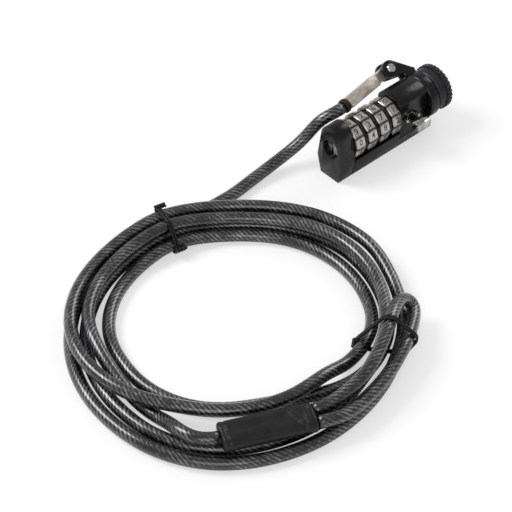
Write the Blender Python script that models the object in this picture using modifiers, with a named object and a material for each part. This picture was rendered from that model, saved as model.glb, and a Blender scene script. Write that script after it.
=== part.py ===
"""Four-dial combination cable lock with a T-bar head and a coiled, plastic-coated steel cable.

Frame: metres, +Z up, the table is z = 0. +X runs along the lock's barrel from the end cap to the knob,
and the T-bar sticks out towards -Y. The origin is under the middle of the lock's base.
"""

import math

import bmesh
import bpy
from mathutils import Vector

MM = 0.001
EMPTY_SIZE = 5 * MM

# --- Clearances -------------------------------------------------------------------------------------
SEAT_GAP = 0.3 * MM  # between pieces that touch
WELD = 0.001 * MM
OVERLAP = 0.4 * MM  # of shapes that a Boolean joins
CUT_PAST = 1.0 * MM  # of a cutter beyond the wall

# --- Barrel -----------------------------------------------------------------------------------------
AXIS_HEIGHT = 13.5 * MM  # of the dials' axis above the table
BASE_HALF_WIDTH = 4.6 * MM
WAIST_HALF_WIDTH = 6.6 * MM
WAIST_HEIGHT = 7.5 * MM
CAP_SHOULDER_HALF_WIDTH = 5.0 * MM
SHOULDER_HEIGHT = 18.6 * MM
CAP_LENGTH = 6.4 * MM
CAP_TOP = 23.2 * MM
CAP_BEVEL = 0.7 * MM
RAIL_TOP = 8.2 * MM
ARCH_STEPS = 10

# --- Dials ------------------------------------------------------------------------------------------
DIAL_COUNT = 4
DIAL_RADIUS = 7.5 * MM
DIAL_WIDTH = 4.4 * MM
DIAL_FACES = 10
DIAL_RIM_BEVEL = 0.35 * MM
SPACER_WIDTH = 1.2 * MM
SPACER_RADIUS = 6.7 * MM
SPACER_FOOT_REACH = 7.6 * MM
SPACER_FOOT_HALF_WIDTH = 3.0 * MM
TROUGH_CLEARANCE = 0.4 * MM
DIAL_BORE_RADIUS = 5.4 * MM
CODE_NOTCH_DEPTH = 0.7 * MM
CODE_NOTCH_WIDTH = 1.3 * MM
HUB_KEY_WIDTH = 0.7 * MM
HUB_KEY_HEIGHT = 0.6 * MM
HUB_LIP_WIDTH = 1.2 * MM
HUB_CHAMBER_RADIUS = 4.0 * MM
GATE_WIDTH = 1.6 * MM
SPINDLE_RADIUS = 1.8 * MM
SPINDLE_CLEARANCE = 0.5 * MM
FIN_RADIUS = 3.5 * MM
FIN_WIDTH = 0.9 * MM
FIN_LENGTH = 1.2 * MM
STRIP_THICKNESS = 0.4 * MM
STRIP_WIDTH = 2.4 * MM
STRIP_HUMP = 0.4 * MM
STRIP_HUMP_HALF_TOP = 0.5 * MM
STRIP_HUMP_HALF_FOOT = 1.5 * MM
STRIP_GROOVE_DEPTH = 1.3 * MM

# --- Reset screw ------------------------------------------------------------------------------------
RECESS_RADIUS = 3.7 * MM
RECESS_DEPTH = 2.5 * MM
RESET_HEAD_RADIUS = 3.2 * MM
RESET_HEAD_LENGTH = 1.1 * MM
RESET_SHANK_RADIUS = 2.2 * MM
RESET_SLOT_WIDTH = 1.0 * MM
RESET_SLOT_DEPTH = 0.6 * MM

# --- Head housing -----------------------------------------------------------------------------------
HOUSING_LENGTH = 13.4 * MM  # from the last dial to the body's end face
HOUSING_TOP = 22.4 * MM
HOUSING_SHOULDER_HALF_WIDTH = 6.2 * MM
TBAR_SETBACK = 4.6 * MM  # of its axis from the housing's near face
PAD_REACH = 5.8 * MM  # flat seat of the T-bar's bush, from the barrel's axis
PAD_BOTTOM = 5.0 * MM
CHAMBER_HALF = 4.2 * MM
CHAMBER_HALF_NARROW = 3.8 * MM
HATCH_HALF_WIDTH = 3.5 * MM
COVER_HALF_LENGTH = 5.9 * MM
COVER_HALF_WIDTH = 3.7 * MM
COVER_THICKNESS = 1.6 * MM
COVER_RECESS = 0.4 * MM
COVER_SCREW_RADIUS = 0.55 * MM
COVER_SCREW_HEAD_RADIUS = 0.75 * MM
COVER_SCREW_HEAD_LENGTH = 0.5 * MM
COVER_SCREW_TO_STRIP = 1.0 * MM  # left between a screw's end and the detent strip above it
COVER_SCREW_OFFSET = 4.9 * MM

# --- Knob drive -------------------------------------------------------------------------------------
NECK_RADIUS = 5.6 * MM
NECK_LENGTH = 4.8 * MM
SHAFT_RADIUS = 2.0 * MM
KNOB_RADIUS = 8.9 * MM
KNOB_CLEARANCE = 0.4 * MM  # from the neck's end
KNOB_LENGTH = 5.8 * MM
KNOB_RIM_LENGTH = 2.3 * MM
KNOB_BAND_RADIUS = 8.3 * MM
KNOB_RIBS = 32
KNOB_RIB_DEPTH = 0.45 * MM
KNOB_EDGE = 0.5 * MM
KNOB_DISH_RADIUS = 5.6 * MM
KNOB_DISH_DEPTH = 0.6 * MM
KNOB_SHAFT_SEAT = 3.6 * MM
KNOB_TURN = math.radians(90)
STOP_PIN_RADIUS = 0.6 * MM
STOP_PIN_ORBIT = 4.2 * MM
STOP_PIN_REACH = 1.2 * MM
STOP_PIN_DEPTH = 2.0 * MM
STOP_PIN_ANGLE = math.radians(45)  # where the pin stands on the neck's end face
STOP_GROOVE_STEPS = 20

# --- Miter gears ------------------------------------------------------------------------------------
GEAR_TEETH = 10
GEAR_PITCH_RADIUS = 2.6 * MM
GEAR_FACE_WIDTH = 0.8 * MM
GEAR_ADDENDUM = math.radians(6)
GEAR_DEDENDUM = math.radians(9)
GEAR_TIP_SHARE = 0.24  # of the tooth pitch
GEAR_ROOT_SHARE = 0.48
GEAR_PHASE = math.radians(18)  # sets a tooth of one gear in a gap of the other
GEAR_HUB_LENGTH = 0.5 * MM
GEAR_HUB_RADIUS = 1.8 * MM
GEAR_NECK_RADIUS = 0.7 * MM
WASHER_THICKNESS = 0.5 * MM
WASHER_RADIUS = 3.4 * MM

# --- T-bar ------------------------------------------------------------------------------------------
TBAR_STEM_RADIUS = 1.4 * MM
TBAR_HEAD_LENGTH = 6.6 * MM
TBAR_HEAD_HEIGHT = 3.6 * MM
TBAR_HEAD_THICKNESS = 3.7 * MM
TBAR_HEAD_NEAR = 10.2 * MM  # head's inner face, from the barrel's axis
TBAR_BEVEL = 0.5 * MM
BUSH_WALL = 0.25 * MM
BUSH_REACH = 0.9 * MM  # past its seat
GUIDE_PIN_RADIUS = 0.6 * MM
GUIDE_PIN_OFFSET = 2.85 * MM
GUIDE_PIN_REACH = 2.4 * MM
GUIDE_PIN_DEPTH = 1.0 * MM

# --- Swivel ring and cable end ----------------------------------------------------------------------
RING_RADIUS = 8.9 * MM
RING_LENGTH = 4.2 * MM
RING_BEVEL = 0.4 * MM
SWIVEL_ANGLE = math.radians(40)  # from +Y up towards +Z, where the ears stand at rest
RIVET_SETBACK = 4.8 * MM  # of the rivet's axis from the body's end face
RIVET_ORBIT = 13.9 * MM
EAR_THICKNESS = 1.6 * MM
EAR_RADIUS = 3.3 * MM
EAR_GAP = 3.0 * MM
EAR_FOOT_ORBIT = 7.4 * MM
EAR_SLANT_ORBIT = 9.8 * MM
RIVET_RADIUS = 1.1 * MM
RIVET_HEAD_RADIUS = 1.8 * MM
RIVET_HEAD_LENGTH = 0.7 * MM
EAR_STEPS = 24
TONGUE_RADIUS = 2.3 * MM
FERRULE_TILT = math.radians(7.5)
FERRULE_NEAR = 6.8 * MM  # rivet to the crimped body's near end
FERRULE_LENGTH = 16.0 * MM
FERRULE_WIDTH = 5.2 * MM
FERRULE_HEIGHT = 4.6 * MM
FERRULE_BEVEL = 0.5 * MM
COLLAR_LENGTH = 1.8 * MM
COLLAR_RADIUS = 2.7 * MM

# --- Cable ------------------------------------------------------------------------------------------
CABLE_DIAMETER = 4.6 * MM
COIL_CENTRE = Vector((-99.6 * MM, -36.3 * MM, 0))
COIL_BEARING = math.radians(-42)  # of the coil's zero angle, seen from above
TURN_STEPS = 24
LAYER_RISE = 5.1 * MM
FLOOR_CLEARANCE = 0.02 * MM
LEAST_SELF_GAP = 0.4 * MM
FREE_POINT_SPACING = 1.5  # in cable diameters
SMOOTH_STEPS = 16
GAP_STEPS = 6
GAP_SEARCH = 30 * MM

# Angle round the coil in degrees, radius in millimetres and layer, where a turn changes lane.
COIL_KEYS = (
    (108, 56.3, 0), (135, 55.7, 0), (180, 55.7, 0), (225, 56.9, 0), (243, 58.0, 0), (262, 58.2, 0),
    (290, 56.0, 0), (320, 54.2, 0), (345, 55.0, 0), (362, 56.6, 0), (378, 57.6, 0.3), (396, 58.8, 1),
    (420, 58.3, 1), (445, 55.9, 1), (495, 55.2, 1), (540, 55.6, 1), (563, 52.4, 1), (585, 47.2, 1),
    (603, 42.6, 1), (620, 40.9, 1), (635, 39.7, 1), (662, 38.4, 1), (680, 37.8, 1), (694, 39.6, 0),
    (708, 43.4, 0), (722, 46.0, 0), (740, 47.1, 0), (765, 47.7, 0), (785, 47.4, 0), (805, 46.2, 0),
    (855, 45.2, 0), (900, 43.0, 0), (922, 40.3, 0), (942, 38.9, 0), (972, 36.6, 0), (995, 34.6, 0),
    (1012, 34.6, 0), (1030, 38.3, 0), (1046, 44.2, 0), (1062, 49.0, 0), (1082, 51.4, 0), (1108, 52.9, 0),
    (1128, 53.9, 0), (1165, 51.6, 0), (1215, 50.4, 0), (1260, 50.4, 0), (1305, 51.5, 0), (1323, 52.8, 0),
    (1338, 52.7, 0), (1350, 51.8, 0), (1372, 49.7, 0), (1386, 48.9, 0), (1410, 48.9, 1), (1424, 49.8, 1),
    (1442, 50.4, 1), (1485, 52.8, 1), (1525, 49.6, 1), (1575, 50.1, 1), (1618, 49.8, 1), (1636, 47.0, 1),
    (1650, 45.2, 0.42), (1663, 45.2, 0), (1678, 46.0, 0),
)
COIL_END_ANGLE = 1668  # last angle before the cable leaves the coil for the sleeve

# Free stretches: points in millimetres in the lock's frame.
TAIL_POINTS = (
    (-144.3, -46.3, 2.35), (-143.9, -50.0, 2.7), (-144.0, -53.4, 4.4), (-144.9, -56.6, 6.9),
    (-145.5, -60.6, 7.8), (-144.9, -65.0, 8.0),
)
LEAD_POINTS = (
    (-15.2, 10.5, 18.9), (-17.8, 12.0, 15.5), (-20.6, 13.0, 11.5), (-23.6, 14.0, 8.6), (-27.6, 15.0, 6.3),
    (-32.0, 15.7, 4.7), (-36.7, 15.9, 3.6), (-41.6, 16.0, 2.8), (-46.7, 15.7, 2.4), (-52.1, 15.1, 2.35),
    (-57.4, 14.6, 2.35),
)
EYE_POINTS = (
    (-100.8, -85.4, 9.2), (-97.6, -86.0, 10.4), (-94.4, -86.6, 11.6), (-90.9, -86.7, 12.3),
    (-86.6, -85.8, 12.6), (-81.7, -84.0, 12.8), (-76.7, -81.7, 12.8), (-71.7, -79.0, 12.8),
    (-66.6, -75.7, 12.8), (-61.5, -72.5, 12.5), (-56.8, -69.9, 11.8), (-52.4, -68.3, 10.4),
    (-49.5, -70.6, 7.0), (-51.6, -73.1, 6.3), (-54.2, -75.2, 6.1), (-60.0, -79.3, 6.4),
    (-67.2, -83.5, 7.1), (-73.1, -85.9, 7.3), (-78.9, -88.0, 7.5), (-84.5, -89.4, 7.5),
    (-90.0, -90.2, 7.5), (-95.1, -91.0, 7.5), (-100.1, -91.4, 7.6),
)
SLEEVE_LENGTH = 31.2 * MM
SLEEVE_WIDTH = 11.0 * MM
SLEEVE_THICKNESS = 5.8 * MM
SLEEVE_CENTRE = Vector((-123.8 * MM, -78.7 * MM, 8.15 * MM))
SLEEVE_HEADING = math.radians(-25.7)
SLEEVE_BEVEL = 1.6 * MM
LEG_SPACING = 5.4 * MM

# --- Wire ties --------------------------------------------------------------------------------------
TIE_WIRE_RADIUS = 0.6 * MM
TIE_CLEARANCE = 0.35 * MM
TIE_LIFT = 2.0 * MM  # of the cable over a tie's wire
TIE_LIFT_SPREAD = 14.0  # degrees round the coil
TIE_STEPS = 28
TIE_SQUARENESS = 0.34
# Angle round the coil in degrees, nearest and farthest cable centres from the coil's centre, highest one.
TIES = (
    ("tie_1", 119.0, 45.4 * MM, 55.9 * MM, 7.4 * MM),
    ("tie_2", 350.5, 44.0 * MM, 58.2 * MM, 13.3 * MM),
)

# --- Finishes: base colour, metallic, roughness -------------------------------------------------------
GLOSS_BLACK = ((0.016, 0.016, 0.018), 0.0, 0.25)
BLACK_METAL = ((0.03, 0.03, 0.033), 0.6, 0.4)
CHROME = ((0.66, 0.66, 0.67), 1.0, 0.14)
BRIGHT_STEEL = ((0.6, 0.6, 0.61), 1.0, 0.28)
DULL_STEEL = ((0.42, 0.42, 0.43), 1.0, 0.42)
BRASS = ((0.72, 0.55, 0.27), 1.0, 0.35)
WORN_NICKEL = ((0.5, 0.46, 0.4), 1.0, 0.36)
CABLE_PLASTIC = ((0.05, 0.05, 0.055), 0.0, 0.22)
TIE_PLASTIC = ((0.02, 0.02, 0.022), 0.0, 0.4)


# --- Scene and building tools -------------------------------------------------------------------------
for leftover in list(bpy.data.objects):
    bpy.data.objects.remove(leftover, do_unlink=True)


def new_collection(name, hidden):
    collection = bpy.data.collections.new(name)
    bpy.context.scene.collection.children.link(collection)
    collection.hide_render = hidden
    return collection


PARTS = new_collection("Cable lock", False)
CUTTERS = new_collection("Cutters", True)
FRAMES = new_collection("Frames", True)


def frame(name, location, rotation=(0, 0, 0), parent=None):
    """An empty that pieces are placed in."""
    obj = bpy.data.objects.new(name, None)
    FRAMES.objects.link(obj)
    obj.empty_display_size = EMPTY_SIZE
    obj.parent = parent
    obj.location = location
    obj.rotation_euler = rotation
    return obj


def place(name, data, parent, location=(0, 0, 0), rotation=(0, 0, 0)):
    """A helper solid, kept out of the render until finish() makes it a piece."""
    obj = bpy.data.objects.new(name, data)
    CUTTERS.objects.link(obj)
    obj.hide_render = True
    obj.display_type = "WIRE"
    obj.parent = parent
    obj.location = location
    obj.rotation_euler = rotation
    return obj


def finish(obj, look):
    """Makes a solid one of the lock's pieces, with its own material."""
    colour, metallic, roughness = look
    CUTTERS.objects.unlink(obj)
    PARTS.objects.link(obj)
    obj.hide_render = False
    obj.display_type = "TEXTURED"
    material = bpy.data.materials.new(obj.name)
    material.use_nodes = True
    shader = material.node_tree.nodes["Principled BSDF"]
    shader.inputs["Base Color"].default_value = (*colour, 1)
    shader.inputs["Metallic"].default_value = metallic
    shader.inputs["Roughness"].default_value = roughness
    obj.data.materials.append(material)
    return obj


def solid_mesh(name, shape):
    """The mesh that shape() adds to an empty bmesh."""
    mesh = bpy.data.meshes.new(name)
    bm = bmesh.new()
    shape(bm)
    bmesh.ops.recalc_face_normals(bm, faces=bm.faces)
    bm.to_mesh(mesh)
    bm.free()
    return mesh


def smooth_round(mesh, angle=math.radians(35)):
    mesh.polygons.foreach_set("use_smooth", [True] * len(mesh.polygons))
    mesh.set_sharp_from_angle(angle=angle)


def cylinder(name, radius, start, end, parent, at=(0, 0), far_radius=None, segments=32):
    """A cylinder or cone along its frame's Z, from start to end."""
    far = radius if far_radius is None else far_radius

    def shape(bm):
        bmesh.ops.create_cone(
            bm, cap_ends=True, segments=segments, radius1=radius, radius2=far, depth=end - start
        )

    mesh = solid_mesh(name, shape)
    smooth_round(mesh)
    return place(name, mesh, parent, (*at, (start + end) / 2))


def box(name, low, high, parent):
    size = Vector(high) - Vector(low)

    def shape(bm):
        bmesh.ops.create_cube(bm, size=1)
        bmesh.ops.scale(bm, vec=size, verts=bm.verts)

    return place(name, solid_mesh(name, shape), parent, (Vector(low) + Vector(high)) / 2)


def hull(name, points, parent):
    """The convex solid round the points."""

    def shape(bm):
        for point in points:
            bm.verts.new(point)
        made = bmesh.ops.convex_hull(bm, input=bm.verts)
        inner = {item for item in made["geom_interior"] if isinstance(item, bmesh.types.BMVert)}
        bmesh.ops.delete(bm, geom=list(inner), context="VERTS")

    return place(name, solid_mesh(name, shape), parent)


def mesh_of_curve(name, curve):
    """The curve's solid as one welded mesh, its caps joined to its sides."""
    source = bpy.data.objects.new(name, curve)
    bpy.context.scene.collection.objects.link(source)
    graph = bpy.context.evaluated_depsgraph_get()
    mesh = bpy.data.meshes.new_from_object(source.evaluated_get(graph))
    bpy.data.objects.remove(source, do_unlink=True)
    bm = bmesh.new()
    bm.from_mesh(mesh)
    bmesh.ops.remove_doubles(bm, verts=bm.verts, dist=WELD)
    bmesh.ops.recalc_face_normals(bm, faces=bm.faces)
    bm.to_mesh(mesh)
    bm.free()
    mesh.name = name
    return mesh


def prism(name, outline, start, end, parent, rotation=(0, 0, 0)):
    """A flat outline in its frame's XY plane, extruded along Z from start to end."""
    curve = bpy.data.curves.new(name, "CURVE")
    curve.dimensions = "2D"
    curve.fill_mode = "BOTH"
    curve.extrude = (end - start) / 2
    spline = curve.splines.new("POLY")
    spline.points.add(len(outline) - 1)
    for point, (x, y) in zip(spline.points, outline):
        point.co = (x, y, 0, 1)
    spline.use_cyclic_u = True
    mesh = mesh_of_curve(name, curve)
    smooth_round(mesh)
    return place(name, mesh, parent, (0, 0, (start + end) / 2), rotation)


def turned(name, profile, parent, start=0, steps=32, rotation=(0, 0, 0)):
    """A profile of (radius, height) points, running down its outer side, turned about its frame's Z."""
    mesh = bpy.data.meshes.new(name)
    mesh.from_pydata(
        [(radius, 0, height) for radius, height in profile],
        [(i, i + 1) for i in range(len(profile) - 1)],
        [],
    )
    obj = place(name, mesh, parent, (0, 0, start), rotation)
    screw = obj.modifiers.new("Turn", "SCREW")
    screw.steps = steps
    screw.render_steps = steps
    screw.use_merge_vertices = True
    screw.merge_threshold = WELD
    screw.use_smooth_shade = True
    return obj


def tube(name, points, radius, resolution, closed=False):
    curve = bpy.data.curves.new(name, "CURVE")
    curve.dimensions = "3D"
    curve.bevel_depth = radius
    curve.bevel_resolution = resolution
    curve.use_fill_caps = not closed
    spline = curve.splines.new("POLY")
    spline.points.add(len(points) - 1)
    for point, place_at in zip(spline.points, points):
        point.co = (*place_at, 1)
    spline.use_cyclic_u = closed
    spline.use_smooth = True
    return place(name, curve, None)


def cut(target, tool):
    combine(target, tool, "DIFFERENCE")


def join(target, tool):
    combine(target, tool, "UNION")


def combine(target, tool, operation):
    modifier = target.modifiers.new(tool.name, "BOOLEAN")
    modifier.operation = operation
    modifier.solver = "EXACT"
    modifier.object = tool


def round_edges(obj, width, segments=2):
    modifier = obj.modifiers.new("Edges", "BEVEL")
    modifier.width = width
    modifier.segments = segments
    modifier.limit_method = "ANGLE"
    modifier.angle_limit = math.radians(40)


def circle(radius, count, centre=(0, 0), start=0.0, turn=math.tau):
    """Points round an arc. A full circle doesn't repeat its first point."""
    steps = count if turn == math.tau else count - 1
    return [
        (
            centre[0] + radius * math.cos(start + turn * i / steps),
            centre[1] + radius * math.sin(start + turn * i / steps),
        )
        for i in range(count)
    ]


# --- Stations along the barrel, from the cap's end face --------------------------------------------------
BODY_START = CAP_LENGTH + SEAT_GAP
DIAL_PITCH = DIAL_WIDTH + SPACER_WIDTH + 2 * SEAT_GAP
DIALS_END = BODY_START + (DIAL_COUNT - 1) * DIAL_PITCH + DIAL_WIDTH
HOUSING_START = DIALS_END + SEAT_GAP
TBAR_STATION = HOUSING_START + TBAR_SETBACK
BODY_END = HOUSING_START + HOUSING_LENGTH
RIVET_STATION = BODY_END - RIVET_SETBACK
NECK_END = BODY_END + NECK_LENGTH
KNOB_START = NECK_END + KNOB_CLEARANCE


# --- Frames -----------------------------------------------------------------------------------------
ORIGIN_FROM_FACE = BODY_END / 2
BARREL = frame("barrel_axis", (-ORIGIN_FROM_FACE, 0, AXIS_HEIGHT), (0, math.pi / 2, 0))
TBAR_AXIS = frame("tbar_axis", (TBAR_STATION - ORIGIN_FROM_FACE, 0, AXIS_HEIGHT), (math.pi / 2, 0, 0))
TABLE = frame("table", (0, 0, 0))
GEAR_APEX = frame("gear_apex", (0, 0, TBAR_STATION), parent=BARREL)
SWIVEL = frame("swivel_axis", (-ORIGIN_FROM_FACE, 0, AXIS_HEIGHT), (SWIVEL_ANGLE - math.pi / 2, 0, 0))
RIVET_AXIS = frame("rivet_axis", (RIVET_STATION, 0, RIVET_ORBIT), parent=SWIVEL)
FERRULE = frame("ferrule_axis", (0, 0, 0), (0, -(math.pi / 2 + FERRULE_TILT), 0), RIVET_AXIS)


# --- Barrel: sections are drawn in the barrel's frame, where X points down and Y across ------------------
def section(shoulder, top, foot=0.0):
    """The lock's cross-section: tapering foot, waist, shoulder and arched top."""
    right = [(foot, BASE_HALF_WIDTH), (WAIST_HEIGHT, WAIST_HALF_WIDTH)]
    arch = [
        (SHOULDER_HEIGHT + (top - SHOULDER_HEIGHT) * y, shoulder * x)
        for x, y in circle(1, ARCH_STEPS, turn=math.pi)
    ]
    left = [(height, -width) for height, width in reversed(right)]
    return [(AXIS_HEIGHT - height, width) for height, width in right + arch + left]


def rail_section():
    right = [(0, BASE_HALF_WIDTH), (WAIST_HEIGHT, WAIST_HALF_WIDTH), (RAIL_TOP, WAIST_HALF_WIDTH)]
    left = [(height, -width) for height, width in reversed(right)]
    return [(AXIS_HEIGHT - height, width) for height, width in right + left]


SHAFT_BORE = SHAFT_RADIUS + SEAT_GAP
TROUGH_RADIUS = DIAL_RADIUS + TROUGH_CLEARANCE
STRIP_SEAT = TROUGH_RADIUS + STRIP_GROOVE_DEPTH - SEAT_GAP  # the strip's underside, below the axis
COVER_SCREW_LENGTH = AXIS_HEIGHT - STRIP_SEAT - COVER_SCREW_TO_STRIP - COVER_RECESS
POCKET_DEPTH = COVER_RECESS + COVER_THICKNESS + SEAT_GAP
SCREW_HOLE_RADIUS = COVER_SCREW_RADIUS + SEAT_GAP
HUB_RADIUS = DIAL_BORE_RADIUS - SEAT_GAP
LIP_BORE = SPINDLE_RADIUS + SPINDLE_CLEARANCE
BUSH_RADIUS = TBAR_STEM_RADIUS + SEAT_GAP + BUSH_WALL


def dial_start(index):
    return BODY_START + index * DIAL_PITCH


def build_end_cap():
    cap = finish(
        prism("end_cap", section(CAP_SHOULDER_HALF_WIDTH, CAP_TOP), 0, CAP_LENGTH, BARREL), GLOSS_BLACK
    )
    round_edges(cap, CAP_BEVEL)
    cut(cap, cylinder("cap_recess", RECESS_RADIUS, -CUT_PAST, RECESS_DEPTH, BARREL))
    bore = RESET_SHANK_RADIUS + SEAT_GAP
    cut(cap, cylinder("cap_bore", bore, RECESS_DEPTH - OVERLAP, CAP_LENGTH + CUT_PAST, BARREL))


def build_reset_screw():
    head_end = RECESS_DEPTH - SEAT_GAP
    head_start = head_end - RESET_HEAD_LENGTH
    screw = cylinder("reset_screw", RESET_HEAD_RADIUS, head_start, head_end, BARREL)
    shank = cylinder("reset_shank", RESET_SHANK_RADIUS, head_end - OVERLAP, CAP_LENGTH - SEAT_GAP, BARREL)
    join(screw, shank)
    half = RESET_SLOT_WIDTH / 2
    slot = box(
        "reset_slot",
        (-RESET_HEAD_RADIUS - CUT_PAST, -half, head_start - CUT_PAST),
        (RESET_HEAD_RADIUS + CUT_PAST, half, head_start + RESET_SLOT_DEPTH),
        BARREL,
    )
    cut(screw, slot)
    finish(screw, BRIGHT_STEEL)


def build_lock_body():
    body = prism("lock_body", rail_section(), BODY_START, BODY_END, BARREL)
    housing = prism(
        "body_housing",
        section(HOUSING_SHOULDER_HALF_WIDTH, HOUSING_TOP, OVERLAP),
        HOUSING_START,
        BODY_END,
        BARREL,
    )
    join(body, housing)
    join(body, cylinder("body_neck", NECK_RADIUS, BODY_END - CUT_PAST, NECK_END, BARREL, segments=48))
    cut(body, cylinder("body_trough", TROUGH_RADIUS, 0, HOUSING_START, BARREL, segments=48))
    groove_floor = TROUGH_RADIUS + STRIP_GROOVE_DEPTH
    half = STRIP_WIDTH / 2 + SEAT_GAP
    cut(body, box("strip_groove", (0, -half, 0), (groove_floor, half, HOUSING_START), BARREL))
    cut(
        body,
        box(
            "gear_chamber",
            (-CHAMBER_HALF, -CHAMBER_HALF, -CHAMBER_HALF_NARROW),
            (CHAMBER_HALF, CHAMBER_HALF_NARROW, CHAMBER_HALF),
            GEAR_APEX,
        ),
    )
    cut(
        body,
        box(
            "body_hatch",
            (0, -HATCH_HALF_WIDTH, -CHAMBER_HALF_NARROW),
            (AXIS_HEIGHT + CUT_PAST, HATCH_HALF_WIDTH, CHAMBER_HALF_NARROW),
            GEAR_APEX,
        ),
    )
    cut(
        body,
        box(
            "cover_pocket",
            (AXIS_HEIGHT - POCKET_DEPTH, -COVER_HALF_WIDTH - SEAT_GAP, -COVER_HALF_LENGTH - SEAT_GAP),
            (AXIS_HEIGHT + CUT_PAST, COVER_HALF_WIDTH + SEAT_GAP, COVER_HALF_LENGTH + SEAT_GAP),
            GEAR_APEX,
        ),
    )
    cut(
        body,
        box(
            "bush_pad",
            (-HOUSING_TOP, -HOUSING_TOP, HOUSING_START - OVERLAP),
            (AXIS_HEIGHT - PAD_BOTTOM, -PAD_REACH, BODY_END + CUT_PAST),
            BARREL,
        ),
    )
    cut(body, cylinder("shaft_bore", SHAFT_BORE, TBAR_STATION, NECK_END + CUT_PAST, BARREL))
    spindle_bore = SPINDLE_RADIUS + SEAT_GAP
    cut(body, cylinder("spindle_bore", spindle_bore, HOUSING_START - CUT_PAST, TBAR_STATION, BARREL))
    cut(body, cylinder("bush_bore", BUSH_RADIUS + SEAT_GAP, 0, PAD_REACH + CUT_PAST, TBAR_AXIS))
    pin_hole = GUIDE_PIN_RADIUS + SEAT_GAP
    for side in (-1, 1):
        hole = cylinder(
            f"pin_hole_{side}",
            pin_hole,
            PAD_REACH - GUIDE_PIN_DEPTH,
            PAD_REACH + CUT_PAST,
            TBAR_AXIS,
            (side * GUIDE_PIN_OFFSET, 0),
            segments=16,
        )
        cut(body, hole)
        depth = COVER_RECESS + COVER_SCREW_LENGTH + SEAT_GAP
        at = cover_screw_at(side)
        screw_hole = cylinder(
            f"screw_hole_{side}", SCREW_HOLE_RADIUS, -CUT_PAST, depth, TABLE, at, segments=12
        )
        cut(body, screw_hole)
    stop_hole = cylinder(
        "stop_hole",
        STOP_PIN_RADIUS + SEAT_GAP,
        NECK_END - STOP_PIN_DEPTH,
        NECK_END + CUT_PAST,
        BARREL,
        stop_pin_at(),
        segments=16,
    )
    cut(body, stop_hole)
    finish(body, GLOSS_BLACK)


def cover_screw_at(side):
    return (TBAR_STATION - ORIGIN_FROM_FACE + side * COVER_SCREW_OFFSET, 0)


def stop_pin_at():
    return (STOP_PIN_ORBIT * math.cos(STOP_PIN_ANGLE), STOP_PIN_ORBIT * math.sin(STOP_PIN_ANGLE))


def build_dial(index):
    start = dial_start(index)
    name = f"dial_{index + 1}"
    dial = cylinder(name, DIAL_RADIUS, start, start + DIAL_WIDTH, BARREL, segments=DIAL_FACES)
    dial.data.polygons.foreach_set("use_smooth", [False] * len(dial.data.polygons))
    round_edges(dial, DIAL_RIM_BEVEL, 1)
    span = (start - CUT_PAST, start + DIAL_WIDTH + CUT_PAST)
    cut(dial, prism(f"{name}_bore", notched_circle(), *span, BARREL))
    finish(dial, CHROME)


def notched_circle():
    """The dial's bore, with one notch for each number."""
    outline = []
    deep = DIAL_BORE_RADIUS + CODE_NOTCH_DEPTH
    half_deep = math.asin(CODE_NOTCH_WIDTH / 2 / deep)
    half_bore = math.asin(CODE_NOTCH_WIDTH / 2 / DIAL_BORE_RADIUS)
    for number in range(DIAL_FACES):
        middle = math.tau * number / DIAL_FACES
        outline += circle(deep, 2, start=middle - half_deep, turn=2 * half_deep)
        rest = math.tau / DIAL_FACES - 2 * half_bore
        outline += circle(DIAL_BORE_RADIUS, 3, start=middle + half_bore, turn=rest)
    return outline


def build_hub(index):
    start = dial_start(index)
    end = start + DIAL_WIDTH
    name = f"dial_hub_{index + 1}"
    hub = cylinder(name, HUB_RADIUS, start, end, BARREL)
    key_half = HUB_KEY_WIDTH / 2
    key_top = HUB_RADIUS + HUB_KEY_HEIGHT
    key_foot = HUB_RADIUS - OVERLAP
    join(hub, box(f"{name}_key", (-key_top, -key_half, start), (-key_foot, key_half, end), BARREL))
    cut(hub, cylinder(f"{name}_chamber", HUB_CHAMBER_RADIUS, start + HUB_LIP_WIDTH, end + CUT_PAST, BARREL))
    cut(hub, cylinder(f"{name}_lip", LIP_BORE, start - CUT_PAST, end, BARREL))
    gate_half = GATE_WIDTH / 2
    gate = box(
        f"{name}_gate",
        (0, -gate_half, start - CUT_PAST),
        (HUB_CHAMBER_RADIUS, gate_half, end - CUT_PAST),
        BARREL,
    )
    cut(hub, gate)
    finish(hub, BRASS)


def build_spacer(index):
    start = dial_start(index) + DIAL_WIDTH + SEAT_GAP
    end = start + SPACER_WIDTH
    name = f"spacer_{index + 1}"
    spacer = cylinder(name, SPACER_RADIUS, start, end, BARREL)
    half = SPACER_FOOT_HALF_WIDTH
    join(spacer, box(f"{name}_foot", (0, -half, start), (spacer_foot_reach(), half, end), BARREL))
    cut(spacer, cylinder(f"{name}_bore", LIP_BORE, start - CUT_PAST, end + CUT_PAST, BARREL))
    finish(spacer, GLOSS_BLACK)


def spacer_foot_reach():
    """Down to just above the round trough, at the foot's corners."""
    return math.sqrt(SPACER_FOOT_REACH**2 - SPACER_FOOT_HALF_WIDTH**2)


def build_spindle():
    start = CAP_LENGTH + SEAT_GAP / 2
    end = TBAR_STATION - CHAMBER_HALF_NARROW - SEAT_GAP
    spindle = cylinder("code_spindle", SPINDLE_RADIUS, start, end, BARREL, segments=24)
    for index in range(DIAL_COUNT):
        middle = dial_start(index) + (HUB_LIP_WIDTH + DIAL_WIDTH) / 2
        half = FIN_WIDTH / 2
        fin = box(
            f"fin_{index + 1}",
            (0, -half, middle - FIN_LENGTH / 2),
            (FIN_RADIUS, half, middle + FIN_LENGTH / 2),
            BARREL,
        )
        join(spindle, fin)
    finish(spindle, BRIGHT_STEEL)


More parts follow.
